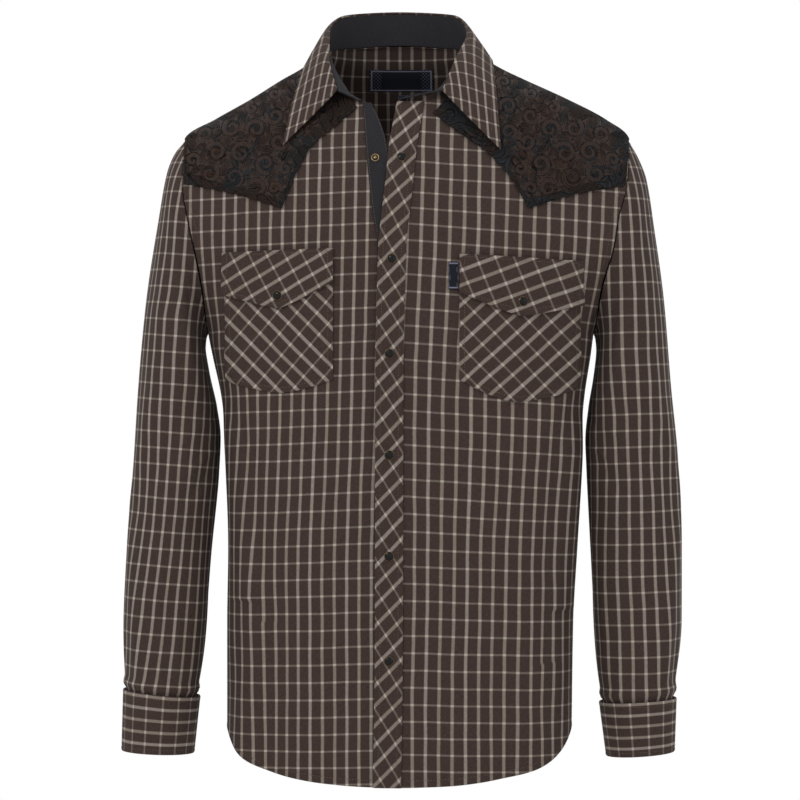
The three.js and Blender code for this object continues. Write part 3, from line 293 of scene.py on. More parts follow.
# ---------------------------------------------------------------------------
# Plaid of the fronts, back, sleeves, cuffs, pockets and collar leaf: yarn-dyed cotton, woven in dark brown with
# thick and thin pale lines. It is drawn from each piece's own UV map, in metres along the threads
class Shader:
    """A material whose nodes are added one by one."""

    def __init__(self, name, roughness, metallic=0.0, sheen=0.0, specular=0.12):
        self.material = bpy.data.materials.new(name)
        self.material.use_nodes = True
        self.tree = self.material.node_tree
        self.surface = self.tree.nodes["Principled BSDF"]
        self.surface.inputs["Roughness"].default_value = roughness
        self.surface.inputs["Metallic"].default_value = metallic
        self.surface.inputs["Sheen Weight"].default_value = sheen
        self.surface.inputs["Sheen Roughness"].default_value = 0.5
        self.surface.inputs["Specular IOR Level"].default_value = specular

    def node(self, kind, **settings):
        made = self.tree.nodes.new(kind)
        for key, value in settings.items():
            setattr(made, key, value)
        return made

    def feed(self, socket, value):
        if isinstance(value, bpy.types.NodeSocket):
            self.tree.links.new(value, socket)
        else:
            socket.default_value = value

    def math(self, operation, a, b=0.0, c=0.0, clamp=False):
        made = self.node("ShaderNodeMath", operation=operation, use_clamp=clamp)
        for socket, value in zip(made.inputs, (a, b, c)):
            self.feed(socket, value)
        return made.outputs[0]

    def blend(self, factor, a, b, kind="MIX"):
        made = self.node("ShaderNodeMix", data_type="RGBA", blend_type=kind)
        self.feed(made.inputs[0], factor)
        self.feed(made.inputs[6], a)
        self.feed(made.inputs[7], b)
        return made.outputs[2]

    def noise(self, vector, scale, detail=2.0, stretch=None):
        if stretch is not None:
            moved = self.node("ShaderNodeMapping")
            moved.inputs["Scale"].default_value = stretch
            self.feed(moved.inputs["Vector"], vector)
            vector = moved.outputs[0]
        made = self.node("ShaderNodeTexNoise")
        self.feed(made.inputs["Vector"], vector)
        made.inputs["Scale"].default_value = scale
        made.inputs["Detail"].default_value = detail
        return made.outputs["Fac"]

    def range(self, value, low, high, to_low=0.0, to_high=1.0):
        made = self.node("ShaderNodeMapRange", interpolation_type="SMOOTHSTEP")
        for socket, number in zip(made.inputs, (value, low, high, to_low, to_high)):
            self.feed(socket, number)
        return made.outputs[0]

    def uv(self):
        coordinates = self.node("ShaderNodeUVMap", uv_map="UVMap").outputs[0]
        split = self.node("ShaderNodeSeparateXYZ")
        self.feed(split.inputs[0], coordinates)
        return coordinates, split.outputs[0], split.outputs[1]

    def bump(self, height):
        made = self.node("ShaderNodeBump")
        made.inputs["Distance"].default_value = 1.0
        self.feed(made.inputs["Height"], height)
        self.feed(self.surface.inputs["Normal"], made.outputs[0])

    def colour(self, value):
        self.feed(self.surface.inputs["Base Color"], value)


def tone(code):
    """Linear colour of a hexadecimal sRGB code."""
    parts = [int(code[i : i + 2], 16) / 255 for i in (0, 2, 4)]
    return tuple(p / 12.92 if p <= 0.04045 else ((p + 0.055) / 1.055) ** 2.4 for p in parts) + (1.0,)


LINE, CROSS_LINE = 13.5, 17.8  # millimetres between the thick lines and between the thin ones in every UV map


def plaid_material(name, ground="3d302b", thick="837a74", other="766b62", thin="685f59", shade=1.0):
    s = Shader(name, 0.9, sheen=0.02)
    coordinates, u, v = s.uv()
    waver = s.noise(coordinates, 22.0, 1.0)
    u = s.math("MULTIPLY_ADD", s.math("SUBTRACT", waver, 0.5), 0.0016, u)
    v = s.math("MULTIPLY_ADD", s.math("SUBTRACT", s.noise(coordinates, 17.0, 1.0), 0.5), 0.0016, v)

    def line(coordinate, period, width, soft):
        turns = s.math("MULTIPLY_ADD", coordinate, 1 / period, 0.5)
        away = s.math("ABSOLUTE", s.math("SUBTRACT", s.math("FRACT", turns), 0.5))
        away = s.math("MULTIPLY", away, period)
        number = s.node("ShaderNodeTexWhiteNoise", noise_dimensions="1D")
        s.feed(number.inputs["W"], s.math("FLOOR", turns))
        return s.range(away, width / 2 + soft, width / 2 - soft), number.outputs["Value"]

    thick_mask, thick_kind = line(u, LINE / 1000, 0.0033, 0.0006)
    thin_mask, thin_kind = line(v, CROSS_LINE / 1000, 0.0021, 0.0005)
    # Yarns: mottled along each thread system, a little lighter where a thread is thicker
    warp = s.noise(coordinates, 1.0, 3.0, (1900.0, 260.0, 1.0))
    weft = s.noise(coordinates, 1.0, 3.0, (260.0, 1900.0, 1.0))
    mottle = s.math("ADD", s.math("MULTIPLY", warp, 0.5), s.math("MULTIPLY", weft, 0.5))
    patch = s.noise(coordinates, 45.0, 2.0)
    base = s.blend(s.range(mottle, 0.36, 0.64), tone("2b2220"), tone(ground))
    base = s.blend(s.math("MULTIPLY", patch, 0.22), base, tone("413633"))
    base = s.blend(s.math("MULTIPLY", s.range(weft, 0.56, 0.7), 0.3), base, tone("4a3e39"))
    thick_colour = s.blend(thick_kind, tone(thick), tone(other))
    thick_colour = s.blend(s.range(warp, 0.3, 0.62, 0.45, 0.0), thick_colour, tone("594f49"))
    thin_colour = s.blend(s.math("MULTIPLY", thin_kind, 0.5), tone(thin), tone("5e5650"))
    thin_colour = s.blend(s.range(weft, 0.3, 0.62, 0.5, 0.0), thin_colour, tone("463b37"))
    colour = s.blend(s.math("MULTIPLY", thin_mask, 0.86), base, thin_colour)
    colour = s.blend(s.math("MULTIPLY", thick_mask, 0.9), colour, thick_colour)
    crossing = s.math("MULTIPLY", thick_mask, thin_mask)
    colour = s.blend(s.math("MULTIPLY", crossing, 0.75), colour, tone("a99f94"))
    # painted shade: a copy asked for with shade below 1 is blended that much towards near black 1c1512, so that cloth
    # reads as shaded
    if shade < 1:
        colour = s.blend(1 - shade, colour, tone("1c1512"))
    s.colour(colour)
    # Plain weave, and the slight unevenness of washed cotton
    across = s.math("SINE", s.math("MULTIPLY", u, 2 * math.pi / 0.00062))
    along = s.math("SINE", s.math("MULTIPLY", v, 2 * math.pi / 0.00062))
    weave = s.math("MULTIPLY", s.math("MULTIPLY", across, along), 0.000018)
    uneven = s.math("MULTIPLY", s.noise(coordinates, 60.0, 3.0), 0.00055)
    uneven = s.math("MULTIPLY_ADD", s.noise(coordinates, 260.0, 2.0), 0.00012, uneven)
    s.bump(s.math("ADD", weave, uneven))
    return s.material


plaid = plaid_material("plaid_cloth_look")
# Inside faces of the cloth and the yoke lining: the same plaid with painted shade, with a darker ground, darker thick
# lines and a fifth blended towards near black
painted_shade_plaid_inside = plaid_material("plaid_inside_look", ground="362a26", thick="7a7169", shade=0.8)


# ---------------------------------------------------------------------------
# Building of cloth pieces: a surface is a function of two running numbers that gives points and normals
EDGE = [0, 0.35, 0.8, 1.5, 2.6, 3.8, 4.6, 5.2, 5.8, 6.8]


def ticks(length, step, start=True, end=True):
    """Places from 0 to 1, step millimetres apart, and close together at the stitched edges."""
    near = [d / length for d in EDGE] if start else [0]
    far = [1 - d / length for d in reversed(EDGE)] if end else [1]
    count = max(2, int((far[0] - near[-1]) * length / step))
    return np.array(near + list(np.linspace(near[-1], far[0], count + 1)[1:-1]) + far)


def turned_edge(d):
    """Height of a double cloth d millimetres inside its edge: rounded, padded, and drawn in at the stitches."""
    d = np.asarray(d, float)
    return (
        -0.5 * (1 - ease(d / 1.2))
        + 0.2 * np.exp(-(((d - 2.5) / 1.5) ** 2))
        - 0.24 * np.exp(-(((d - 5.2) / 0.8) ** 2))
    )


def select(obj):
    bpy.ops.object.select_all(action="DESELECT")
    obj.select_set(True)
    bpy.context.view_layer.objects.active = obj


def new_object(name, points, faces, material, uv=None, smooth=True):
    mesh = bpy.data.meshes.new(name)
    mesh.from_pydata((np.asarray(points) * 0.001).tolist(), [], faces)
    if uv is not None:
        layer = mesh.uv_layers.new(name="UVMap")
        layer.data.foreach_set("uv", np.asarray(uv, float).ravel())
    mesh.polygons.foreach_set("use_smooth", [smooth] * len(mesh.polygons))
    mesh.materials.append(material)
    mesh.update()
    obj = bpy.data.objects.new(name, mesh)
    bpy.context.collection.objects.link(obj)
    return obj


def shell(name, points, normals, uv, thickness, material, node, joined=False, inside=None):
    """A cloth of the given thickness behind a grid of outer points."""
    rows, columns = points.shape[:2]
    kept = columns - 1 if joined else columns
    r, c = np.meshgrid(np.arange(rows - 1), np.arange(columns - 1), indexing="ij")
    corners = np.stack([(r, c), (r, c + 1), (r + 1, c + 1), (r + 1, c)], axis=0).transpose(2, 3, 0, 1).reshape(-1, 4, 2)
    across = points[:, 1:] - points[:, :-1]
    along = points[1:] - points[:-1]
    facing = np.cross(across[:-1], along[:, :-1])
    if (facing * normals[:-1, :-1]).sum() < 0:
        corners = corners[:, ::-1]
    faces = corners[..., 0] * kept + corners[..., 1] % kept
    loop_uv = uv[corners[..., 0], corners[..., 1]].reshape(-1, 2) * 0.001
    obj = new_object(name, points[:, :kept].reshape(-1, 3), faces.tolist(), material, loop_uv)
    if inside is not None:
        obj.data.materials.append(inside)
    select(obj)
    thick = obj.modifiers.new("thickness", "SOLIDIFY")
    thick.thickness = thickness * 0.001
    thick.offset = -1
    if inside is not None:
        thick.material_offset = 1
        thick.material_offset_rim = 0
    bpy.ops.object.modifier_apply(modifier=thick.name)
    obj.data.set_sharp_from_angle(angle=math.radians(48))
    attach(obj, "root")
    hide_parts(node)
    return obj


def grid(us, vs):
    u, v = np.meshgrid(us, vs)
    return u, v


def lengths_across(points, zero):
    """Length along each row of a grid, measured from its column zero."""
    steps = np.linalg.norm(np.diff(points, axis=1), axis=-1)
    run = np.concatenate([np.zeros((len(points), 1)), np.cumsum(steps, axis=1)], axis=1)
    return run - run[:, zero : zero + 1]


class Stitches:
    """Many short stitches of thread, gathered into one mesh."""

    def __init__(self):
        self.points, self.faces = [], []

    def row(self, points, normals, pitch=3.0, length=2.2, radius=0.27):
        points, normals = np.asarray(points), np.asarray(normals)
        run = np.concatenate([[0], np.cumsum(np.linalg.norm(np.diff(points, axis=0), axis=1))])
        places = np.arange(pitch / 2, run[-1] - pitch / 2, pitch)
        if len(places) == 0:
            return
        pick = lambda values, at: np.stack([np.interp(at, run, values[:, k]) for k in range(3)], axis=1)
        centre, out = pick(points, places), unit(pick(normals, places))
        along = unit(pick(points, places + 0.8) - pick(points, places - 0.8))
        side = unit(np.cross(out, along))
        for i in range(len(places)):
            start = len(self.points)
            for reach, size, sink in ((-0.5, 0.3, -0.22), (-0.2, 1, 0.05), (0.2, 1, 0.05), (0.5, 0.3, -0.22)):
                at = centre[i] + along[i] * length * reach + out[i] * sink
                for a, b in ((1, 0), (0, 1), (-1, 0), (0, -1)):
                    self.points.append(at + (side[i] * a + out[i] * b) * radius * size)
            for k in range(3):
                for m in range(4):
                    a, b = start + 4 * k + m, start + 4 * k + (m + 1) % 4
                    self.faces.append((a, b, b + 4, a + 4))
            self.faces.append((start + 3, start + 2, start + 1, start))
            self.faces.append((start + 12, start + 13, start + 14, start + 15))

    def build(self, name, material, slot):
        obj = new_object(name, np.array(self.points), self.faces, material)
        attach(obj, "root")
        return obj


body_thread, sleeve_thread, yoke_thread = Stitches(), Stitches(), Stitches()

# ---------------------------------------------------------------------------
# Two fronts, a back and the lining of its yoke: plaid cotton cut on the straight grain, sewn together at the side
# seams and turned up and stitched at the hem. The tables say where the plaid lies: the first upright line and the
# spacing at each
# height, and the number of the level line at each height
UPRIGHT_LINES = {
    -1: table("z x apart", (-730, -43, 12.75), (-665, -43, 12.75), (-534, -43, 12.9), (-366, -38.6, 12.65),
              (-167, -34.2, 12.75), (-60, -33, 12.75)),
    1: table("z x apart", (-730, 12.8, 13.9), (-665, 12.8, 13.9), (-534, 15.2, 13.8), (-366, 15.3, 14.75),
             (-167, 22.4, 14.9), (-60, 25, 14.9)),
}
LEVEL_LINES = {
    -1: table("z line", (-730.9, 38), (-695.8, 36), (-622.7, 32), (-550.3, 28), (-478.8, 24), (-406.7, 20),
              (-336.8, 16), (-267.5, 12), (-196.4, 8), (-127.7, 4), (-63.9, 0), (-20, -3)),
    1: table("z line", (-735.3, 36), (-666.1, 32), (-593.7, 28), (-521.8, 24), (-449.3, 20), (-377.4, 16),
             (-306.6, 12), (-234.8, 8), (-164.2, 4), (-97.7, 0), (-40, -3.6)),
}
DROOP = {-1: table("z fall", (-760, 0.02), (-500, 0.04), (-60, 0.04)),
         1: table("z fall", (-760, 0.02), (-520, 0.045), (-430, 0.072), (-200, 0.072), (-60, 0.05))}


def tail_height(face, share, z):
    """The shirt tail: rows near the hem rise towards the side seams."""
    share, z = np.broadcast_arrays(np.asarray(share, float), np.asarray(z, float))
    point = form_point(face, share, z)
    flat_share = share.ravel()
    width = section(face, np.where(flat_share < 0, -1, 1), z.ravel())[0].reshape(z.shape)
    wide = np.abs(point[..., 0]) / width
    rise = HEM_RISE * (0.5 * wide**2.3 + 0.5 * wide**14)
    down = np.clip((TAIL_TOP_Z - z) / (TAIL_TOP_Z - HEM_Z), 0, None)
    return z + rise * down**1.5


seam_x, seam_z = curve(COLLAR, "at", "seam_x"), curve(COLLAR, "at", "seam_z")
COLLAR_END = 0.95


def neck_seam(at):
    """Place of the neck seam seen from the front; behind the shoulders it follows the body's sections."""
    at = np.asarray(at, float)
    inner = np.clip(at, -COLLAR_END, COLLAR_END)
    x, z = seam_x(inner), seam_z(inner)
    behind = form_point(1, 2 * np.clip(at, -0.5, 0.5), seam_z(np.clip(at, -0.5, 0.5)))[..., 0]
    x = np.where(np.abs(at) <= 0.5, behind, x)
    for end in (STAND_END_RIGHT, STAND_END_LEFT):
        limit = math.copysign(COLLAR_END, end["at"])
        part = (at - limit) / (end["at"] - limit)
        beyond = part > 0
        x = np.where(beyond, mix(x, end["x"], part), x)
        z = np.where(beyond, mix(z, end["z"], part), z)
    return x, z


right_at = np.linspace(-1.1, -0.5, 60)
left_at = np.linspace(1.25, 0.5, 60)
placket_middle = curve(PLACKET, "z", "x")
facing_edge, facing_width = curve(FACING, "z", "x"), curve(FACING, "z", "width")
FRONT_RISE, RISE_WIDTH, PANEL_INSET = 2.4, 36, 1.5


def right_inner(z):
    x, seam = neck_seam(right_at)
    along_neck = np.interp(z, seam, x)
    below = np.minimum(z, -31)
    under_strip = facing_edge(below) + facing_width(below) - PANEL_INSET
    return mix(under_strip, along_neck, ease((z + 34) / 8))


def left_inner(z):
    x, seam = neck_seam(left_at)
    along_neck = np.maximum(np.interp(z, seam, x), 25)
    return np.where(z > -28, along_neck, placket_middle(np.minimum(z, -31)) + PLACKET_WIDTH / 2 - PANEL_INSET)


def left_rise(x, z):
    away = x - (placket_middle(np.minimum(z, -31)) + PLACKET_WIDTH / 2)
    return FRONT_RISE * ease(1 - away / RISE_WIDTH)


def outer_share(face, side, z):
    seam = share_at(face, side * (armhole(side, z) - SEAM_GAP), z)
    return np.where((z <= ARMHOLE_BOTTOM_Z) | (z >= ARMHOLE_TOP_Z), side, seam)


def seam_dip(d):
    """A seam drawn in at the join, with a soft welt beside it."""
    return -0.8 * np.exp(-((d / 1.1) ** 2)) + 0.35 * np.exp(-(((d - 3.2) / 2.2) ** 2))


def hem_shape(row):
    d = row - HEM_Z
    return -0.3 * (1 - ease(d / 1.0)) + 0.3 * ease(1 - d / 9) - 0.3 * np.exp(-(((d - 7.5) / 0.9) ** 2))


HEM_ROWS = [0, 0.5, 1.2, 2.5, 4.5, 6.3, 7.2, 7.8, 8.6, 10]


def panel_rows(top, step=3.7):
    rows = [HEM_Z + d for d in HEM_ROWS]
    return np.array(rows + list(np.linspace(HEM_Z + 10, top, int((top - HEM_Z - 10) / step))[1:]))


def plaid_place(face, side, share, z):
    """Running numbers of the plaid on a front or the back, in millimetres."""
    x = form_point(face, share, z)[..., 0]
    arc = share * quarter_length(face, share, z)
    lines = UPRIGHT_LINES[side] if face < 0 else table("z x apart", (-760, 0, 13.4), (0, 0, 13.4))
    across = mix(arc, x, 0.4 if face < 0 else 0.15)
    u = side * (across - curve(lines, "z", "x")(z)) / curve(lines, "z", "apart")(z) * LINE
    if face > 0:
        u = u * side
    fall = curve(DROOP[side], "z", "fall")(z) * (np.abs(x) - 48) if face < 0 else 0.02 * np.abs(x)
    v = curve(LEVEL_LINES[side], "z", "line")(z + fall) * CROSS_LINE
    return np.stack([u, v], axis=-1)


def front_surface(side, inner_x):
    def surface(u, row):
        inner, outer = share_at(-1, inner_x(row), row), outer_share(-1, side, row)
        share = mix(inner, outer, u)
        z = tail_height(-1, share, row)
        rise = left_rise(form_point(-1, share, z)[..., 0], z) if side > 0 else 0
        beside = (1 - u) * np.abs(outer - inner) * quarter_length(-1, share, row)
        points, normals = on_body(-1, share, z, rise + seam_dip(beside) + hem_shape(row))
        return points, normals, share, z

    return surface


PANEL_OUT = np.array([0, 0.6, 1.4, 2.4, 3.6, 5.2, 7])


def front_panel(name, side, inner_x):
    surface = front_surface(side, inner_x)
    across = np.concatenate([np.linspace(0, 1 - 7 / 170, 50)[:-1], 1 - PANEL_OUT[::-1] / 170])
    u, row = grid(across, panel_rows(NECK_POINT_Z - 2))
    points, normals, share, z = surface(u, row)
    uv = plaid_place(-1, side, share, z)
    made = shell(name, points, normals, uv, CLOTH, plaid, name.replace("_cloth", ""),
                 inside=painted_shade_plaid_inside)
    line = surface(np.linspace(0.02, 1, 300), np.full(300, HEM_Z + 7.5))
    body_thread.row(line[0], line[1])
    rows = np.linspace(HEM_Z + 12, ARMHOLE_TOP_Z - 8, 500)
    line = surface(np.full(500, 1 - 6 / 170), rows)
    body_thread.row(line[0], line[1])
    return made


front_panel("front_right_cloth", -1, right_inner)
front_panel("front_left_cloth", 1, left_inner)


def back_surface(u, row):
    share = mix(outer_share(1, -1, row), outer_share(1, 1, row), u)
    z = tail_height(1, share, row)
    beside = (1 - np.abs(2 * u - 1)) * quarter_length(1, share, row)
    points, normals = on_body(1, share, z, seam_dip(beside) + hem_shape(row))
    return points, normals, share, z


def eased_rows(points, rows, centre, reach, columns, times=70):
    """Evens out the crease that the section's change leaves at one height, away from the panel's sides."""
    weight = np.exp(-(((rows - centre) / reach) ** 2))[:, None] * ease(columns * (1 - columns) * 26)[None]
    for _ in range(times):
        middle = (points[:-2] + 2 * points[1:-1] + points[2:]) / 4
        points[1:-1] += (middle - points[1:-1]) * weight[1:-1, :, None]
    return points


across = np.concatenate([PANEL_OUT / 440, np.linspace(7 / 440, 1 - 7 / 440, 124)[1:-1], 1 - PANEL_OUT[::-1] / 440])
back_rows = panel_rows(YOKE_SEAM_Z - SEAM_GAP / 2)
u, row = grid(across, back_rows)
points, normals, share, z = back_surface(u, row)
points = eased_rows(points, back_rows, ARMHOLE_BOTTOM_Z, 40, across)
back = shell("back_cloth", points, normals, plaid_place(1, 1, share, points[..., 2]), CLOTH, plaid, "back",
             inside=painted_shade_plaid_inside)
line = back_surface(np.linspace(0, 1, 600), np.full(600, HEM_Z + 7.5))
body_thread.row(line[0], line[1])
for edge in (6 / 440, 1 - 6 / 440, 2.4 / 440, 1 - 2.4 / 440):
    line = back_surface(np.full(500, edge), np.linspace(HEM_Z + 12, ARMHOLE_TOP_Z - 8, 500))
    body_thread.row(line[0], line[1])

# Plaid yoke lining inside the back of the neck
back_at = np.linspace(-0.5, 0, 60)


def lining_share(side, z):
    x, seam = neck_seam(back_at)
    edge = side * np.abs(np.interp(z, seam, x))
    return np.where(z <= NECK_POINT_Z, side, share_at(1, edge, np.maximum(z, NECK_POINT_Z)))


u, row = grid(np.linspace(0, 1, 70), np.linspace(YOKE_SEAM_Z + SEAM_GAP / 2, BACK_NECK_Z - 0.6, 16))
share = mix(lining_share(-1, row), lining_share(1, row), u)
points, normals = on_body(1, share, row)
uv = np.stack([share * quarter_length(1, share, row), row * 1.05 + 6], axis=-1)
shell("yoke_lining_cloth", points, normals, uv, CLOTH, painted_shade_plaid_inside, "yoke_lining")

# ---------------------------------------------------------------------------
# Yokes over both fronts and the back: charcoal cotton filled with fine coloured stitches, cut to points, turned
# under and held by a double row of dark stitches along the lower edges
def yoke_material(name):
    """Charcoal twill filled all over with rows of brown and blue-grey stitches that swirl like leaf veins."""
    s = Shader(name, 0.88, specular=0.06)
    coordinates, u, v = s.uv()

    def swirls(scale, lines, bend):
        made = s.node("ShaderNodeTexNoise", noise_dimensions="2D")
        made.inputs["Scale"].default_value = scale
        made.inputs["Detail"].default_value = 0.6
        made.inputs["Distortion"].default_value = bend
        s.feed(made.inputs["Vector"], coordinates)
        return s.math("SINE", s.math("MULTIPLY", made.outputs["Fac"], 2 * math.pi * lines))

    veins, leaves = swirls(34.0, 17.0, 0.9), swirls(21.0, 4.0, 1.6)
    raised = s.range(veins, -0.4, 0.7)
    # Zero on the narrow lines between the leaves: these lines are sunk by the bump and also carry painted shade
    groove_bump_and_painted_shade = s.range(s.math("ABSOLUTE", leaves), 0.05, 0.3)
    slub = s.noise(coordinates, 1.0, 3.0, (300.0, 2200.0, 1.0))
    cloudy, place = s.noise(coordinates, 38.0, 3.0), s.noise(coordinates, 24.0, 2.0)
    ground = s.blend(s.range(slub, 0.35, 0.65), tone("121213"), tone("201e1d"))
    brown = s.blend(s.noise(coordinates, 1.0, 2.0, (900.0, 900.0, 1.0)), tone("20150f"), tone("38271f"))
    grey = s.blend(cloudy, tone("1b1e20"), tone("2a2e33"))
    thread = s.blend(s.range(place, 0.47, 0.58), brown, grey)
    colour = s.blend(s.math("MULTIPLY", raised, 0.85), ground, thread)
    # painted shade: the sunken lines between the leaves are painted near black (0d0a09), darker than the ground, as
    # shade in the grooves
    s.colour(s.blend(s.math("MULTIPLY", groove_bump_and_painted_shade, 1.0), tone("0d0a09"), colour))
    height = s.math("MULTIPLY_ADD", raised, 0.00022, s.math("MULTIPLY", groove_bump_and_painted_shade, 0.00045))
    s.bump(s.math("MULTIPLY_ADD", slub, 0.00006, height))
    return s.material


yoke_cloth = yoke_material("yoke_cloth_look")

YOKE_LIFT, YOKE_NECK_Z, SETTLE = 1.2 + YOKE_CLOTH, 21, 1.0
YOKE_EDGES = {
    -1: {"inner": table("part x z", (0, 45, -37.5), (0.25, 69, -59), (0.5, 91.5, -78), (0.75, 110, -111),
                        (1, 123.5, -145)),
         "outer": table("part x z", (0, 123.5, -145), (0.5, 175, -129), (1, 228, -117))},
    1: {"inner": table("part x z", (0, 35, -45), (0.25, 62, -65), (0.5, 90, -85), (0.75, 114, -111),
                       (1, 134.5, -145)),
        "outer": table("part x z", (0, 134.5, -145), (0.5, 186, -129), (1, 238, -119))},
}
BACK_YOKE = {"centre": -132, "point_x": 112, "point_z": -176, "side": -126}


def side_name(side):
    return "right" if side < 0 else "left"


def ridge(side, part):
    z = mix(YOKE_NECK_Z, ARMHOLE_TOP_Z, part)
    return half_width[side_name(side)](z), z


def front_yoke_surface(side):
    edges = YOKE_EDGES[side]
    inner_x, inner_z = curve(edges["inner"], "part", "x"), curve(edges["inner"], "part", "z")
    outer_x, outer_z = curve(edges["outer"], "part", "x"), curve(edges["outer"], "part", "z")

    def surface(u, v, more=0.0):
        first = u <= 0.5
        low_x = np.where(first, inner_x(2 * u), outer_x(2 * u - 1))
        low_z = np.where(first, inner_z(2 * u), outer_z(2 * u - 1))
        high_x, high_z = ridge(side, 0.975 * u)
        part = 1 - (1 - v) ** 1.8
        z = mix(low_z, high_z, part)
        widest = np.where(v > 0.9999, 1e6, armhole_x[side_name(side)](np.minimum(z, ARMHOLE_TOP_Z)) - 2 * SEAM_GAP)
        x = np.minimum(mix(low_x, high_x, part), widest)
        share = np.where(v > 0.9999, side, share_at(-1, side * x, z))
        rise = left_rise(x, z) if side > 0 else 0
        points, normals = on_body(-1, share, z, YOKE_LIFT - SETTLE * ease((u - 0.88) / 0.12) + rise + more)
        return points, normals, side * x, z

    return surface


front_yokes = {side: front_yoke_surface(side) for side in (-1, 1)}
yokes = {}
for side, surface in front_yokes.items():
    u, v = grid(np.unique(np.concatenate([np.linspace(0, 0.5, 36), np.linspace(0.5, 1, 36)])),
                np.concatenate([np.array([0, 0.35, 0.8, 1.5, 2.2, 3, 4.2, 6, 7, 8, 9.5]) / 180,
                                np.linspace(0.07, 1, 34)]))
    edge = turned_edge(np.minimum(v * 180 + 0.0, 60)) - 0.24 * np.exp(-(((v * 180 - 1.9) / 0.6) ** 2))
    points, normals, x, z = surface(u, v, np.where(v < 0.3, edge, 0))
    yokes[side] = shell(f"yoke_front_{side_name(side)}_cloth", points, normals, np.stack([x, z], axis=-1), YOKE_CLOTH,
                        yoke_cloth, f"yoke_front_{side_name(side)}")
    for d in (1.9, 6.4):
        u = np.linspace(0.01, 0.99, 400)
        line = surface(u, np.full(400, d / 180), -0.1)
        yoke_thread.row(line[0], line[1], 2.6, 2.0, 0.24)


def back_yoke_surface(u, v, more=0.0):
    wide, side = np.abs(2 * u - 1), np.where(u < 0.5, -1, 1)
    side_x = armhole(side, BACK_YOKE["side"]) - 2 * SEAM_GAP
    first, second = wide / 0.5, (wide - 0.5) / 0.5
    low_x = np.where(wide <= 0.5, BACK_YOKE["point_x"] * first, mix(BACK_YOKE["point_x"], side_x, second)) * side
    low_z = np.where(wide <= 0.5, mix(BACK_YOKE["centre"], BACK_YOKE["point_z"], np.clip(first, 0, 1) ** 1.25),
                     mix(BACK_YOKE["point_z"], BACK_YOKE["side"], np.clip(second, 0, 1) ** 0.9))
    on_shoulder = wide >= 0.46
    shoulder = np.clip((wide - 0.46) / 0.54, 0, 1)
    ridge_z = mix(YOKE_NECK_Z, ARMHOLE_TOP_Z, 0.975 * shoulder)
    ridge_x = side * np.where(side < 0, half_width["right"](ridge_z), half_width["left"](ridge_z))
    at = side * np.minimum(wide, 0.46) / 0.92
    neck_z = neck_seam(at)[1] - mix(NECK_POINT_Z - YOKE_NECK_Z, 4, ease(1 - wide / 0.46))
    neck_x = form_point(1, 2 * at, neck_z)[..., 0]
    high_x, high_z = np.where(on_shoulder, ridge_x, neck_x), np.where(on_shoulder, ridge_z, neck_z)
    part = 1 - (1 - v) ** 1.8
    x, z = mix(low_x, high_x, part), mix(low_z, high_z, part)
    share = np.where((v > 0.9999) & on_shoulder, side, share_at(1, x, z))
    points, normals = on_body(1, share, z, YOKE_LIFT - SETTLE * ease((wide - 0.9) / 0.1) + more)
    return points, normals, x, z


u, v = grid(np.unique(np.concatenate([np.linspace(0, 0.25, 34), np.linspace(0.25, 0.5, 34), np.linspace(0.5, 0.75, 34),
                                      np.linspace(0.75, 1, 34)])),
            np.concatenate([np.array([0, 0.35, 0.8, 1.5, 2.2, 3, 4.2, 6, 7, 8, 9.5]) / 190, np.linspace(0.07, 1, 36)]))
edge = turned_edge(np.minimum(v * 190, 60)) - 0.24 * np.exp(-(((v * 190 - 1.9) / 0.6) ** 2))
points, normals, x, z = back_yoke_surface(u, v, np.where(v < 0.3, edge, 0))
yokes[0] = shell("yoke_back_cloth", points, normals, np.stack([x, z], axis=-1), YOKE_CLOTH, yoke_cloth, "yoke_back")
for d in (1.9, 6.4):
    line = back_yoke_surface(np.linspace(0.01, 0.99, 900), np.full(900, d / 190), -0.1)
    yoke_thread.row(line[0], line[1], 2.6, 2.0, 0.24)

# Embroidery: raised rows of thread stitched through the yokes by machine, as scrolls that roll in, each with
# fans of leaves
def thread_material(name, dark, light, roughness=0.55):
    s = Shader(name, roughness, sheen=0.02, specular=0.2)
    place = s.node("ShaderNodeTexCoord").outputs["Object"]
    grain = s.noise(place, 1500.0, 2.0)
    s.colour(s.blend(s.range(grain, 0.35, 0.65), tone(dark), tone(light)))
    s.bump(s.math("MULTIPLY", grain, 0.00012))
    return s.material


embroidery_thread = thread_material("embroidery_look", "1d1411", "3d2c24", 0.6)

SCROLLS = table(
    "x z radius start way",
    (150, -124, 11, 40, 1), (131, -124, 8, 200, -1), (174, -112, 12, 310, -1), (200, -107, 11, 120, 1),
    (219, -92, 9, 230, -1), (194, -84, 12, 20, 1), (167, -86, 13, 150, -1), (141, -98, 12, 250, 1),
    (120, -103, 8, 80, -1), (152, -60, 12, 330, 1), (127, -74, 11, 180, 1), (178, -58, 11, 60, -1),
    (206, -64, 10, 280, 1), (157, -36, 8, 100, -1), (132, -46, 11, 20, -1), (108, -64, 10, 300, 1),
    (108, -36, 11, 210, -1), (133, -20, 8, 140, 1), (92, -50, 8, 60, 1), (86, -24, 10, 330, 1), (104, -8, 9, 250, -1),
)


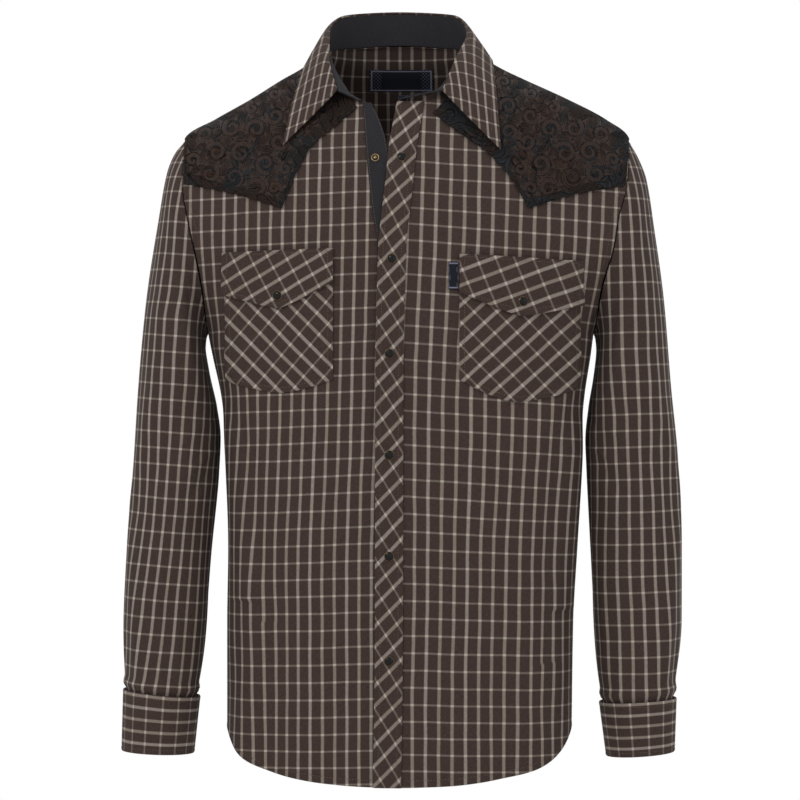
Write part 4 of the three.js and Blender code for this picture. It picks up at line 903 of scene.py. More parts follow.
def scroll_lines(scroll, side):
    """Lines of one scroll and its leaves, each a run of (x, z) with its half width."""
    start, way, radius = math.radians(scroll["start"]), scroll["way"], scroll["radius"]
    lines = []
    t = np.linspace(0, 1, 40)
    turn = start + way * t * 2 * math.pi * 1.15
    size = radius * (1 - 0.72 * t)
    for shift in (0, 1.5, 3.0):
        reach = np.maximum(size - shift * (1 - 0.5 * t), 0.7)
        lines.append((reach * np.cos(turn), reach * np.sin(turn), 0.58 * (1 - 0.4 * t)))
    s = np.linspace(0, 1, 16)
    for k in range(5):
        base = start + way * (0.3 + k * 1.22)
        foot = np.array([math.cos(base), math.sin(base)]) * radius * (1.02 - 0.06 * k)
        length = radius * (1.5 - 0.1 * k)
        for vein in range(-3, 4):
            spread = 0.34 * vein * np.sin(np.pi * s * 1.02)
            bend = base + way * (0.75 + 1.1 * s) + spread
            step = length * (1 - 0.05 * abs(vein)) / 15
            x = foot[0] + np.cumsum(np.cos(bend)) * step
            z = foot[1] + np.cumsum(np.sin(bend)) * step
            lines.append((x, z, (0.62 if abs(vein) == 3 else 0.4) * (1 - 0.6 * s)))
    return [(side * (scroll["x"] + x), scroll["z"] + z, half) for x, z, half in lines]


def inside_yoke(face, side, x, z):
    """Whether a place lies on the yoke, clear of its edges."""
    wide = side * x
    if face < 0:
        edges = YOKE_EDGES[side]
        rows = edges["inner"] + edges["outer"][1:]
        low = np.interp(wide, [row["x"] for row in rows], [row["z"] for row in rows]) + 8.5
    else:
        low = np.interp(wide, [0, BACK_YOKE["point_x"], 230],
                        [BACK_YOKE["centre"], BACK_YOKE["point_z"], BACK_YOKE["side"]]) + 9.5
    top = half_width[side_name(side)](z) - 3
    beside = armhole_x[side_name(side)](np.minimum(z, ARMHOLE_TOP_Z)) - 5
    return (z > low) & (wide < np.minimum(top, beside)) & (wide > (36 if face < 0 else -400))


def embroidery(name, face, runs):
    """Strips with a raised middle along each run."""
    points, faces = [], []
    for side, x, z, half in runs:
        kept = inside_yoke(face, side, x, z)
        if kept.sum() < 4:
            continue
        first = int(np.argmax(kept))
        last = first + int(np.argmax(~kept[first:])) if (~kept[first:]).any() else len(kept)
        if last - first < 4:
            continue
        x, z, half = x[first:last], z[first:last], np.maximum(half[first:last], 0.16)
        across = unit(np.stack([-np.gradient(z), np.gradient(x)], axis=1))
        start = sum(len(part) for part in points)
        wide = np.stack([-1.0 * half, 0 * half, half], axis=1)
        xs, zs = x[:, None] + across[:, :1] * wide, z[:, None] + across[:, 1:] * wide
        heights = np.broadcast_to(np.array([-0.1, 0.42, -0.1]), xs.shape)
        points.append(np.stack([xs, zs, heights], axis=-1).reshape(-1, 3))
        for k in range(last - first - 1):
            for m in range(2):
                a = start + 3 * k + m
                faces.append((a, a + 1, a + 4, a + 3))
    flat = np.concatenate(points)
    rise = left_rise(flat[:, 0], flat[:, 1]) * (flat[:, 0] > 0) if face < 0 else 0
    placed, out = at_x(face, flat[:, 0], flat[:, 1], YOKE_LIFT + rise + flat[:, 2])
    a, b, c = placed[faces[0][0]], placed[faces[0][1]], placed[faces[0][3]]
    made = new_object(name, placed, faces, embroidery_thread)
    select(made)
    bpy.ops.object.mode_set(mode="EDIT")
    bpy.ops.mesh.select_all(action="SELECT")
    bpy.ops.mesh.normals_make_consistent(inside=False)
    bpy.ops.object.mode_set(mode="OBJECT")
    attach(made, "root")
    return made


ornaments = []
for side in (-1, 1):
    runs = []
    for scroll in SCROLLS:
        moved = dict(scroll, x=scroll["x"] + (6 if side > 0 else 0))
        runs += [(side, x, z, half) for x, z, half in scroll_lines(moved, side)]
    ornaments.append(embroidery(f"embroidery_front_{side_name(side)}", -1, runs))
runs = []
for side in (-1, 1):
    for scroll in SCROLLS:
        lower = dict(scroll, z=scroll["z"] - 6)
        runs += [(side, x, z, half) for x, z, half in scroll_lines(lower, side)]
        if scroll["x"] > 150 and scroll["z"] < -30:
            inner = dict(scroll, x=scroll["x"] - 128, z=scroll["z"] - 4, start=scroll["start"] + 90)
            runs += [(side, x, z, half) for x, z, half in scroll_lines(inner, side)]
    for x, z, radius, start in ((108, -150, 11, 60), (88, -136, 10, 200), (24, -12, 11, 30), (60, -8, 11, 150),
                                (34, 14, 9, 250), (64, -40, 10, 90), (26, -38, 9, 310)):
        extra = {"x": x, "z": z, "radius": radius, "start": start, "way": 1}
        runs += [(side, x, z, half) for x, z, half in scroll_lines(extra, side)]
ornaments.append(embroidery("embroidery_back", 1, runs))

# ---------------------------------------------------------------------------
# Plackets: a straight charcoal facing sewn inside the right front's edge, and a plaid strip, cut on the bias and
# topstitched along both edges of the left front, which carries the snaps
def twill_material(name, dark, light, speck):
    s = Shader(name, 0.9, sheen=0.03)
    coordinates, u, v = s.uv()
    diagonal = s.math("SINE", s.math("MULTIPLY", s.math("ADD", u, v), 2 * math.pi / 0.0009))
    slub = s.noise(coordinates, 1.0, 3.0, (300.0, 2200.0, 1.0))
    cloudy = s.noise(coordinates, 60.0, 3.0)
    base = s.blend(s.range(slub, 0.35, 0.65), tone(dark), tone(light))
    base = s.blend(s.math("MULTIPLY", cloudy, 0.3), base, tone(speck))
    base = s.blend(s.range(diagonal, 0.2, 1.0, 0.0, 0.25), base, tone(speck))
    s.colour(base)
    height = s.math("MULTIPLY", diagonal, 0.00002)
    s.bump(s.math("MULTIPLY_ADD", cloudy, 0.0004, height))
    return s.material


chambray = twill_material("chambray_look", "18171a", "262528", "302f32")

FACING_LIFT = LAYER_GAP + STRIP_CLOTH
PLACKET_LIFT = FRONT_RISE + LAYER_GAP - 0.3 + PLACKET_CLOTH
strip_rows = np.concatenate([[HEM_Z + d for d in HEM_ROWS], np.linspace(HEM_Z + 10, -32, 190)[1:]])


def facing_surface(u, row):
    share = share_at(-1, facing_edge(row) + facing_width(row) * u, row)
    d = np.minimum(u, 1 - u) * facing_width(row)
    return on_body(-1, share, tail_height(-1, share, row), FACING_LIFT + 0.6 * turned_edge(d))


u, row = grid(ticks(24.5, 3), strip_rows)
points, normals = facing_surface(u, row)
uv = np.stack([u * 24.5, row], axis=-1)
facing = shell("placket_under_cloth", points, normals, uv, STRIP_CLOTH, chambray, "placket_under")
for edge in (1.5, 23):
    line = facing_surface(np.full(400, edge / 24.5), np.linspace(HEM_Z + 5, -36, 400))
    body_thread.row(line[0], line[1])


def skewed(x, z, thick_angle, thin_angle, thick_apart, thin_apart, shift=(0.0, 0.0)):
    """Running numbers of a plaid cut on the bias: the angles at which its two kinds of line rise to the right."""
    a, b = math.radians(thick_angle), math.radians(thin_angle)
    u = (-np.sin(a) * x + np.cos(a) * z) / thick_apart + shift[0]
    v = (-np.sin(b) * x + np.cos(b) * z) / thin_apart + shift[1]
    return np.stack([u * LINE, v * CROSS_LINE], axis=-1)


def placket_surface(u, row):
    share = share_at(-1, placket_middle(row) + PLACKET_WIDTH * (u - 0.5), row)
    d = np.minimum(u, 1 - u) * PLACKET_WIDTH
    lift = PLACKET_LIFT + turned_edge(d) + hem_shape(row) * 0.5
    return on_body(-1, share, tail_height(-1, share, row), lift)


u, row = grid(ticks(PLACKET_WIDTH, 2.4), strip_rows)
points, normals = placket_surface(u, row)
uv = skewed((u - 0.5) * PLACKET_WIDTH, row, 46, -59, 14.6, 16.2)
shell("placket_over_cloth", points, normals, uv, PLACKET_CLOTH, plaid, "placket_over")
for edge in (5.2, PLACKET_WIDTH - 5.2):
    line = placket_surface(np.full(500, edge / PLACKET_WIDTH), np.linspace(HEM_Z + 5, -36, 500))
    body_thread.row(line[0], line[1])

# ---------------------------------------------------------------------------
# Collar: a stiffened charcoal stand sewn into the neck seam, and a plaid leaf of two layers, sewn to its top,
# turned and topstitched, that rolls over it
collar = {column: curve(COLLAR, "at", column) for column in ("fold_x", "fold_y", "fold_z", "edge_x", "edge_z", "lift")}
ROLL_UP, ROLL_OUT, END_HEIGHT = 2, 6.5, 5


def fold_point(at):
    return np.stack([collar["fold_x"](at), collar["fold_y"](at), collar["fold_z"](at)], axis=-1)


def edge_point(at):
    x, z, lift = collar["edge_x"](at), collar["edge_z"](at), YOKE_LIFT + collar["lift"](at)
    behind = on_body(1, 2 * np.clip(at, -0.5, 0.5), z, lift)[0]
    before = at_x(-1, np.where(np.abs(x) < 1, 1, x), z, lift)[0]
    return np.where((np.abs(at) <= 0.5)[..., None], behind, before)


def seam_point(at):
    x, z = neck_seam(at)
    rise = left_rise(x, z) + (PLACKET_LIFT - FRONT_RISE) * ease((at - 0.9) / 0.12)
    lift = np.where(at > 0.5, rise, 0)
    behind = on_body(1, 2 * np.clip(at, -0.5, 0.5), z, lift)[0]
    before = on_body(-1, share_at(-1, x, z), z, lift)[0]
    return np.where((np.abs(at) <= 0.5)[..., None], behind, before)


def stand_point(at, up):
    seam = seam_point(at)
    reach = np.clip(at, -COLLAR_END, COLLAR_END)
    rise = fold_point(reach) - seam_point(reach)
    end = np.where(at < 0, -STAND_END_RIGHT["at"], STAND_END_LEFT["at"])
    past = np.clip((np.abs(at) - COLLAR_END) / (end - COLLAR_END), 0, 1)
    height = mix(np.linalg.norm(rise, axis=-1), END_HEIGHT, past)
    return seam + unit(rise) * mix(LAYER_GAP, height, up)[..., None]


def leaf_point(at, down):
    fold, edge = fold_point(at), edge_point(at)
    up = unit(fold - seam_point(at))
    fall = edge - fold
    out = unit(fall - up * (fall * up).sum(axis=-1, keepdims=True))
    start = fold + up * ROLL_UP - out * STAND_CLOTH
    roll = fold + up * (ROLL_UP + 1) + out * ROLL_OUT
    rest = (1 - down)[..., None]
    down = down[..., None]
    return start * rest * rest + roll * 2 * rest * down + edge * down * down


def surface_normal(surface, u, v, step=0.004):
    across = surface(u + step, v) - surface(u - step, v)
    along = surface(u, np.minimum(1, v + step)) - surface(u, np.maximum(0, v - step))
    return unit(np.cross(across, along))


at, up = grid(np.concatenate([np.linspace(-1.09, -0.95, 10)[:-1], np.linspace(-0.95, 0.95, 130),
                              np.linspace(0.95, 1.24, 22)[1:]]),
              np.array([0, 0.02, 0.05, 0.1, 0.2, 0.35, 0.5, 0.65, 0.8, 0.92, 1]))
normals = surface_normal(stand_point, at, up)
edge = 0.6 * turned_edge(np.minimum(up * 40, 40))
points = stand_point(at, up) + normals * edge[..., None] * 0.5
uv = np.stack([lengths_across(points, 80), up * 42], axis=-1)
shell("collar_stand_cloth", points, -normals, uv, STAND_CLOTH, chambray, "collar_stand")

LEAF_EDGE = 60.0
at, down = grid(np.concatenate([-0.95 + 1.9 * ticks(470, 3.6)]),
                np.concatenate([[0, 0.03, 0.06, 0.09, 0.12, 0.16, 0.2, 0.25, 0.3], np.linspace(0.36, 0.88, 12),
                                1 - np.array(EDGE[::-1]) / LEAF_EDGE]))
normals = surface_normal(leaf_point, at, down)
from_end = (COLLAR_END - np.abs(at)) / 1.9 * 470
lift = LEAF_CLOTH / 2 + np.minimum(turned_edge((1 - down) * LEAF_EDGE), turned_edge(from_end))
leaf_middle = leaf_point(at, down)
points = leaf_middle + normals * lift[..., None]
down_length = np.concatenate([np.zeros((1, at.shape[1])),
                              np.cumsum(np.linalg.norm(np.diff(leaf_middle, axis=0), axis=-1), axis=0)])
uv = np.stack([down_length[-1:] - down_length - 6.0, lengths_across(leaf_middle, at.shape[1] // 2)], axis=-1)
leaf = shell("collar_leaf_cloth", points, normals, uv, LEAF_CLOTH, plaid, "collar_leaf")


def leaf_line(at, down):
    normal = surface_normal(leaf_point, at, down)
    body_thread.row(leaf_point(at, down) + normal * (LEAF_CLOTH / 2 - 0.2), normal)


leaf_line(np.linspace(-0.93, 0.93, 500), np.full(500, 1 - 5.4 / LEAF_EDGE))
for end in (-0.93, 0.93):
    leaf_line(np.full(80, end), np.linspace(0.25, 1 - 5.4 / LEAF_EDGE, 80))

# ---------------------------------------------------------------------------
# Sleeves, their plackets and cuffs: plaid tubes set into the armholes, with rings that turn from upright there to
# level at the cuff, gathered by small pleats into stiff cuffs that lap over themselves
TUBE = "at out_x out_z in_x in_z front back forward"
SLEEVES = {
    -1: table(TUBE,
              (0, 231, -66, 207.4, -273, 72, 78, 0), (0.04, 242, -79, 210, -281, 73, 79, 0),
              (0.09, 250.6, -99, 210.5, -291, 74, 79, 0), (0.18, 261.4, -158, 205.5, -320, 74, 77, 1),
              (0.29, 273.8, -240, 197.5, -354, 70, 72, 2), (0.41, 282.4, -335, 193.5, -387, 65, 66, 4),
              (0.53, 287.3, -416, 195.2, -428, 59, 60, 7), (0.68, 293.8, -502, 203.1, -511, 54, 55, 11),
              (0.84, 297.3, -589, 209.6, -596, 50, 50, 16), (0.955, 295.4, -640, 216.4, -648, 46.5, 46.5, 19),
              (1, 292.2, -660, 221.2, -668.5, 43.6, 43.6, 20)),
    1: table(TUBE,
             (0, 246, -66, 209.4, -273, 72, 78, 0), (0.04, 257, -85, 212, -282, 73, 79, 0),
             (0.09, 265.7, -108, 212.5, -292, 74, 79, 0), (0.18, 274.3, -162, 209, -322, 74, 77, 1),
             (0.29, 284.6, -238, 203.5, -354, 70, 72, 2), (0.41, 292.1, -330, 200, -389, 65, 66, 4),
             (0.53, 299.2, -405, 200.9, -419, 59, 60, 7), (0.68, 303.2, -497, 205.2, -508, 54, 55, 11),
             (0.84, 302.7, -583, 209.7, -594, 50, 50, 16), (0.955, 295.8, -646, 215.4, -654, 46.5, 46.5, 19),
             (1, 291.9, -669.4, 220.5, -674.6, 43.6, 43.6, 20)),
}
CUFFS = {
    -1: table(TUBE, (0, 293.1, -655, 219.7, -662.5, 44, 44, 20), (1, 294.6, -720.5, 226, -723, 40, 40, 24)),
    1: table(TUBE, (0, 292.9, -664.4, 219, -668.6, 44, 44, 20), (1, 290.5, -721.2, 226.4, -726.2, 40, 40, 24)),
}
CUFF_START, CUFF_LAP = 198, 36
SLIT = {"from": 0.972, "to": 0.773}
SLEEVE_FOLDS = table(
    "top_angle top end_angle end width high",
    (60, 0.34, 25, 0.62, 15, 2.6), (120, 0.3, 70, 0.58, 16, -2.6), (20, 0.55, 70, 1.02, 15, 2.8),
    (95, 0.6, 110, 1.04, 14, -2.4), (140, 0.62, 150, 1.04, 14, 2.4), (230, 0.3, 290, 0.66, 18, 3),
    (300, 0.28, 340, 0.6, 16, -2.6), (215, 0.62, 235, 1.04, 14, 2.6), (275, 0.66, 285, 1.04, 14, -2.6),
)
SLEEVE_CREASES = table(
    "top_angle top end_angle end width high",
    (150, 0.36, 80, 0.5, 9, 1.5), (160, 0.44, 95, 0.56, 8, 1.3), (155, 0.5, 70, 0.66, 9, -1.4),
    (170, 0.3, 120, 0.44, 9, -1.3), (40, 0.46, 100, 0.6, 9, -1.2), (30, 0.12, 75, 0.34, 12, 1.2),
    (110, 0.08, 140, 0.3, 10, -1.2), (60, 0.74, 45, 0.99, 8, 1.5), (85, 0.8, 80, 1.0, 7, -1.4),
    (110, 0.78, 125, 1.0, 8, 1.4), (30, 0.84, 25, 1.0, 8, -1.2), (180, 0.76, 175, 1.0, 9, 1.3),
    (200, 0.34, 260, 0.5, 9, 1.5), (205, 0.46, 280, 0.6, 9, -1.5), (330, 0.4, 260, 0.58, 9, 1.3),
    (250, 0.72, 255, 1.0, 8, 1.5), (310, 0.76, 320, 1.0, 8, 1.3), (340, 0.1, 290, 0.3, 12, 1.2),
)
ARMHOLE_FADE = 0.16
CUFF_LIFT = LAYER_GAP + CUFF_CLOTH


def armhole_height(angle):
    return ARMHOLE_MIDDLE + ARMHOLE_HALF * np.cos(np.radians(angle))


def sleeve_fold(angle, at):
    total = np.zeros(np.shape(angle))
    for fold in SLEEVE_FOLDS + SLEEVE_CREASES:
        down = np.clip((at - fold["top"]) / (fold["end"] - fold["top"]), 0, 1)
        away = angle - mix(fold["top_angle"], fold["end_angle"], down)
        away = away - 360 * np.round(away / 360)
        total += fold["high"] * np.exp(-((away / fold["width"]) ** 2)) * np.sin(np.pi * down) ** 0.8
    return total


class Tube:
    """Surface of a sleeve or cuff: 0 degrees is its outer edge, 90 its front and 180 its inner edge."""

    def __init__(self, rows, side, joins_body=False):
        self.curves = {column: curve(rows, "at", column) for column in TUBE.split()[1:]}
        self.side, self.joins_body = side, joins_body

    def bare(self, angle, at):
        angle, at = np.broadcast_arrays(np.asarray(angle, float), np.asarray(at, float))
        c = {name: value(at) for name, value in self.curves.items()}
        turn = np.radians(angle)
        outer = (1 + np.cos(turn)) / 2
        x, z = mix(c["in_x"], c["out_x"], outer), mix(c["in_z"], c["out_z"], outer)
        if self.joins_body:
            first, last = self.curves["in_x"](0.0), self.curves["out_x"](0.0)
            seam = armhole_x[side_name(self.side)](armhole_height(angle)) + SEAM_GAP
            x = x + (seam - mix(first, last, outer)) * (1 - ease(at / ARMHOLE_FADE))
        reach = np.where(np.sin(turn) > 0, c["front"], c["back"])
        return np.stack([self.side * x, -np.sin(turn) * reach - c["forward"], z], axis=-1)

    def place(self, angle, at, lift=0.0):
        round_ = self.bare(angle + 1, at) - self.bare(angle - 1, at)
        along = self.bare(angle, np.minimum(1, at + 0.01)) - self.bare(angle, np.maximum(0, at - 0.01))
        out = unit(np.cross(round_, along)) * self.side
        if self.joins_body:
            pleats = sum(1.3 * np.exp(-(((angle - 360 * np.round((angle - middle) / 360) - middle) / 5) ** 2))
                         for middle in (158, 180, 262))
            full = np.exp(-(((at - 0.972) / 0.011) ** 2)) * (2.6 - pleats)
            lift = lift + sleeve_fold(angle, at) * ease((1 - at) / 0.03) + full
        return self.bare(angle, at) + out * (np.zeros(np.shape(angle)) + lift)[..., None], out


LEVEL_ON_SLEEVE = {
    -1: table("z line", (-700, 32), (-648.2, 29), (-412.9, 16), (-344, 12), (-275.6, 8), (-205.9, 4), (-138.1, 0),
              (-90, -3)),
    1: table("z line", (-700, 31.8), (-652.8, 29), (-255.7, 6), (-220.2, 4), (-184.9, 2), (-148.6, 0), (-90, -3.4)),
}
# One thick line down the front of each sleeve, and the spacing of those beside it
LINE_ON_SLEEVE = {
    -1: table("z x apart", (-660, 261, 13.7), (-607, 253.2, 12.7), (-536, 245.9, 12.2), (-465, 238.1, 11.8),
              (-394, 232.3, 12.8), (-345, 228.3, 13.6), (-260, 222.7, 13.8), (-225, 217.8, 13.2), (-174, 215.1, 12),
              (-80, 209, 12)),
    1: table("z x apart", (-662, 247.7, 13.9), (-604, 246.6, 14), (-537, 244, 14), (-435, 242.6, 13.2),
             (-364, 240, 14), (-293, 235.4, 15), (-222, 234, 14.2), (-187, 233.5, 13), (-152, 232.9, 12.4),
             (-80, 230, 12.4)),
}
ROUND_SLEEVE = table("z half depth", (-700, 37, 44), (-640, 40, 47), (-590, 44, 50), (-505, 45.5, 54), (-420, 46, 60),
                     (-340, 46, 66), (-240, 46, 71), (-66, 46, 74))
LEVEL_SLOPE = {-1: 0.075, 1: 0.03}
CUFF_PLAID = {-1: {"across": 98, "apart": 17.2, "stretch": 68.5, "start": 2.8},
              1: {"across": 107, "apart": 18.3, "stretch": 66.5, "start": 2.0}}


def sleeve_plaid(side, points):
    """Running numbers of the plaid on a sleeve, whose thick lines run down it from the shoulder to the cuff."""
    x, z = side * points[..., 0], points[..., 2]
    rows = SLEEVES[side][::-1]
    out, forward = (np.interp(z, [row["out_z"] for row in rows], [row[name] for row in rows])
                    for name in ("out_x", "forward"))
    half, depth = curve(ROUND_SLEEVE, "z", "half")(z), curve(ROUND_SLEEVE, "z", "depth")(z)
    turn = np.arctan2(-(points[..., 1] + forward) / depth, (x - out + half) / half)
    outer = points.shape[1] // 2
    turn[:, outer:] = np.unwrap(turn[:, outer:], axis=1)
    turn[:, : outer + 1] = np.unwrap(turn[:, outer::-1], axis=1)[:, ::-1]
    lines = LINE_ON_SLEEVE[side]
    first = np.arccos(np.clip((curve(lines, "z", "x")(z) - out + half) / half, -0.98, 0.98))
    steps = (np.arange(24) + 0.5) / 24
    between = first[..., None] + (turn - first)[..., None] * steps
    speed = np.hypot(half[..., None] * np.sin(between), depth[..., None] * np.cos(between)).mean(axis=-1)
    u = speed * (turn - first) / curve(lines, "z", "apart")(z) * LINE
    v = curve(LEVEL_ON_SLEEVE[side], "z", "line")(z - LEVEL_SLOPE[side] * (x - 265)) * CROSS_LINE
    return np.stack([u, v], axis=-1)


sleeves, cuffs, strips = {}, {}, {}
for side in (-1, 1):
    name = side_name(side)
    tube, cuff = Tube(SLEEVES[side], side, True), Tube(CUFFS[side], side)
    ends = np.concatenate([np.array([0, 0.5, 1.2, 2.2, 3.6, 5.4, 8]) / 640, np.linspace(0.018, 1, 158)])
    angle, at = grid(np.linspace(-180, 180, 101), ends)
    points, normals = tube.place(angle, at, seam_dip(at * 640))
    sleeves[side] = shell(f"sleeve_{name}_cloth", points, normals, sleeve_plaid(side, points), CLOTH, plaid,
                          f"sleeve_{name}", joined=True, inside=painted_shade_plaid_inside)

    turns = (360 + CUFF_LAP) / 360
    circumference = 250.0 * turns

    def cuff_surface(u, v, more=0.0):
        d = np.minimum(np.minimum(v, 1 - v) * 66, np.minimum(u, 1 - u) * circumference)
        return cuff.place(CUFF_START + u * (360 + CUFF_LAP), v, CUFF_LIFT + 2.9 * u + turned_edge(d) + more)

    u, v = grid(ticks(circumference, 3.2), ticks(66, 3.2))
    points, normals = cuff_surface(u, v)
    cut = CUFF_PLAID[side]
    run = lengths_across(points, 0)[len(points) // 2]
    run = run - np.interp((cut["across"] + 360 - CUFF_START) / (360 + CUFF_LAP), u[0], run)
    uv = np.stack([v * cut["stretch"] - cut["start"], run[None] * CROSS_LINE / cut["apart"] + 0 * v], axis=-1)
    cuffs[side] = shell(f"cuff_{name}_cloth", points, normals, uv, CUFF_CLOTH, plaid, f"cuff_{name}",
                        inside=painted_shade_plaid_inside)
    for d in (5.2 / 66, 1 - 5.2 / 66):
        line = cuff_surface(np.linspace(0.02, 0.98, 260), np.full(260, d))
        sleeve_thread.row(line[0], line[1])
    for d in (5.2 / circumference, 1 - 5.2 / circumference):
        line = cuff_surface(np.full(60, d), np.linspace(0.08, 0.92, 60))
        sleeve_thread.row(line[0], line[1])

    middle = CUFF_START + CUFF_LAP / 2

    def strip_surface(u, v):
        d = np.minimum(np.minimum(u, 1 - u) * 26, (1 - v) * 130)
        at = mix(SLIT["from"], SLIT["to"], v)
        return tube.place(middle + 18 * (2 * u - 1), at, LAYER_GAP + CLOTH + 0.8 * turned_edge(d))

    u, v = grid(ticks(26, 2.6), ticks(130, 3.4, start=False))
    points, normals = strip_surface(u, v)
    uv = np.stack([u * 26 + 3, points[..., 2]], axis=-1)
    strips[side] = shell(f"sleeve_placket_{name}_cloth", points, normals, uv, CLOTH, plaid, f"sleeve_placket_{name}")
    for edge in (5.2 / 26, 1 - 5.2 / 26):
        line = strip_surface(np.full(80, edge), np.linspace(0, 0.96, 80))
        sleeve_thread.row(line[0], line[1])
    cuffs[side, "surface"] = (cuff, CUFF_LIFT)

# ---------------------------------------------------------------------------
# Chest pockets and their pointed flaps: plaid cotton cut on the bias, edges turned under, topstitched to the
# fronts, with the flaps of two layers sewn along their tops
POCKETS = {
    -1: {"near": -70, "far": -184, "top_near": -226, "top_far": -230, "low_x": -124, "low": -338, "near_z": -324,
         "far_z": -325, "flap_near": -222, "flap_far": -234, "flap_top_near": -187, "flap_top_far": -190.5,
         "flap_x": -126.6, "flap_low": -249.5, "snap_x": -127, "snap_z": -236,
         "flap_cut": (31, -62, 13.7, 16.4), "cut": (-45, 50, 14.2, 16.2)},
    1: {"near": 62, "far": 190, "top_near": -230, "top_far": -236, "low_x": 122, "low": -348, "near_z": -324,
        "far_z": -333, "flap_near": -233, "flap_far": -245, "flap_top_near": -193, "flap_top_far": -199,
        "flap_x": 126.6, "flap_low": -257.5, "snap_x": 127.5, "snap_z": -242,
        "flap_cut": (21, -68, 14.6, 18.2), "cut": (41.5, -46, 15.1, 17.2)},
}
POCKET_LIFT = 1 + CLOTH
FLAP_LIFT = POCKET_LIFT + 0.5 + FLAP_CLOTH
FLAP_SPRING = 1.6


def low_edge(pocket, x, middle, low, near, far, power):
    towards_near = (x - pocket[middle]) * (pocket["near"] - pocket[middle]) > 0
    end = np.where(towards_near, pocket["near"], pocket["far"])
    share = np.abs((x - pocket[middle]) / (end - pocket[middle]))
    return mix(pocket[low], np.where(towards_near, pocket[near], pocket[far]), share**power)


pockets, flaps = {}, {}
for side, pocket in POCKETS.items():
    name = side_name(side)
    width = abs(pocket["far"] - pocket["near"])

    def rise(x, z):
        return left_rise(x, z) if side > 0 else 0

    def pocket_surface(u, v):
        x = mix(pocket["near"], pocket["far"], u)
        z = mix(low_edge(pocket, x, "low_x", "low", "near_z", "far_z", 1.5),
                mix(pocket["top_near"], pocket["top_far"], u) + 26, v)
        d = np.minimum(np.minimum(u, 1 - u) * width, v * 125)
        return *at_x(-1, x, z, rise(x, z) + POCKET_LIFT + 0.8 * turned_edge(d)), x, z

    def flap_surface(u, v):
        x = mix(pocket["near"], pocket["far"] + side * 2, u)
        z = mix(low_edge(pocket, x, "flap_x", "flap_low", "flap_near", "flap_far", 1.2),
                mix(pocket["flap_top_near"], pocket["flap_top_far"], u), v)
        d = np.minimum(np.minimum(u, 1 - u) * width, v * 52)
        lift = rise(x, z) + FLAP_LIFT + FLAP_SPRING * (1 - v) + turned_edge(d)
        return *at_x(-1, x, z, lift), x, z

    u, v = grid(ticks(width, 3.4), ticks(125, 3.4, end=False))
    points, normals, x, z = pocket_surface(u, v)
    pockets[side] = shell(f"pocket_{name}_cloth", points, normals, skewed(x, z, *pocket["cut"]), CLOTH, plaid,
                          f"pocket_{name}")
    u, v = grid(ticks(width, 3.0), ticks(52, 3.0))
    points, normals, x, z = flap_surface(u, v)
    flaps[side] = shell(f"flap_{name}_cloth", points, normals, skewed(x, z, *pocket["flap_cut"]), FLAP_CLOTH, plaid,
                        f"flap_{name}")
    e = 5.2 / width
    for surface, tall, top in ((pocket_surface, 125, 0.8), (flap_surface, 52, 0.98)):
        line = surface(np.linspace(e, 1 - e, 160), np.full(160, 5.2 / tall))
        body_thread.row(line[0], line[1])
        for u in (e, 1 - e):
            line = surface(np.full(100, u), np.linspace(5.2 / tall, top, 100))
            body_thread.row(line[0], line[1])
    line = flap_surface(np.linspace(e, 1 - e, 160), np.full(160, 1 - 3.0 / 52))
    body_thread.row(line[0], line[1])

# ---------------------------------------------------------------------------
# Snaps and the open stud: pressed brass rims that hold glossy black domes, riveted through the cloth. The stud
# is the lower half of the open top snap, on the facing
enamel_shader = Shader("snap_enamel_look", 0.1, specular=0.2)
spots = enamel_shader.noise(enamel_shader.node("ShaderNodeTexCoord").outputs["Object"], 900.0, 2.0)
enamel_shader.colour(enamel_shader.blend(spots, tone("040405"), tone("0c0c0e")))
enamel = enamel_shader.material
brass_shader = Shader("snap_brass_look", 0.3, metallic=1.0, specular=0.5)
wear = brass_shader.noise(brass_shader.node("ShaderNodeTexCoord").outputs["Object"], 1400.0, 3.0)
brass_shader.colour(brass_shader.blend(wear, tone("574832"), tone("a08b66")))
brass_shader.bump(brass_shader.math("MULTIPLY", wear, 0.00005))
brass = brass_shader.material

def turned(name, profile, sides=32):
    """A turned part, standing on the origin: rings of radius and height, drawn up one after another."""
    bpy.ops.object.select_all(action="DESELECT")
    bpy.ops.mesh.primitive_circle_add(vertices=sides, radius=profile[0][0] * 0.001, fill_type="NGON")
    made = bpy.context.active_object
    made.name = made.data.name = name
    bpy.ops.object.mode_set(mode="EDIT")
    bpy.ops.mesh.select_all(action="SELECT")
    for (radius, height), (wider, higher) in zip(profile, profile[1:]):
        bpy.ops.mesh.extrude_region_move(TRANSFORM_OT_translate={"value": (0, 0, (higher - height) * 0.001)})
        bpy.ops.transform.resize(value=(wider / radius, wider / radius, 1))
    bpy.ops.mesh.select_all(action="SELECT")
    bpy.ops.mesh.remove_doubles(threshold=0.000001)
    bpy.ops.mesh.normals_make_consistent(inside=False)
    bpy.ops.object.mode_set(mode="OBJECT")
    bpy.ops.object.shade_smooth_by_angle(angle=math.radians(50))
    return made


def set_down(master, name, node, foot, out):
    """A copy of a turned part with its own mesh, its foot on a place and its axis along a direction."""
    out = unit(np.asarray(out, float))
    first = unit(np.cross(out, np.array([0.0, 0.31, 0.95])))
    turn = Matrix(np.stack([first, np.cross(out, first), out], axis=1).tolist()).to_4x4()
    made = master.copy()
    made.data = master.data.copy()
    made.name = made.data.name = name
    made.data.transform(Matrix.Translation(Vector((np.asarray(foot) * 0.001).tolist())) @ turn)
    bpy.context.collection.objects.link(made)
    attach(made, "root")
    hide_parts(node)
    return made


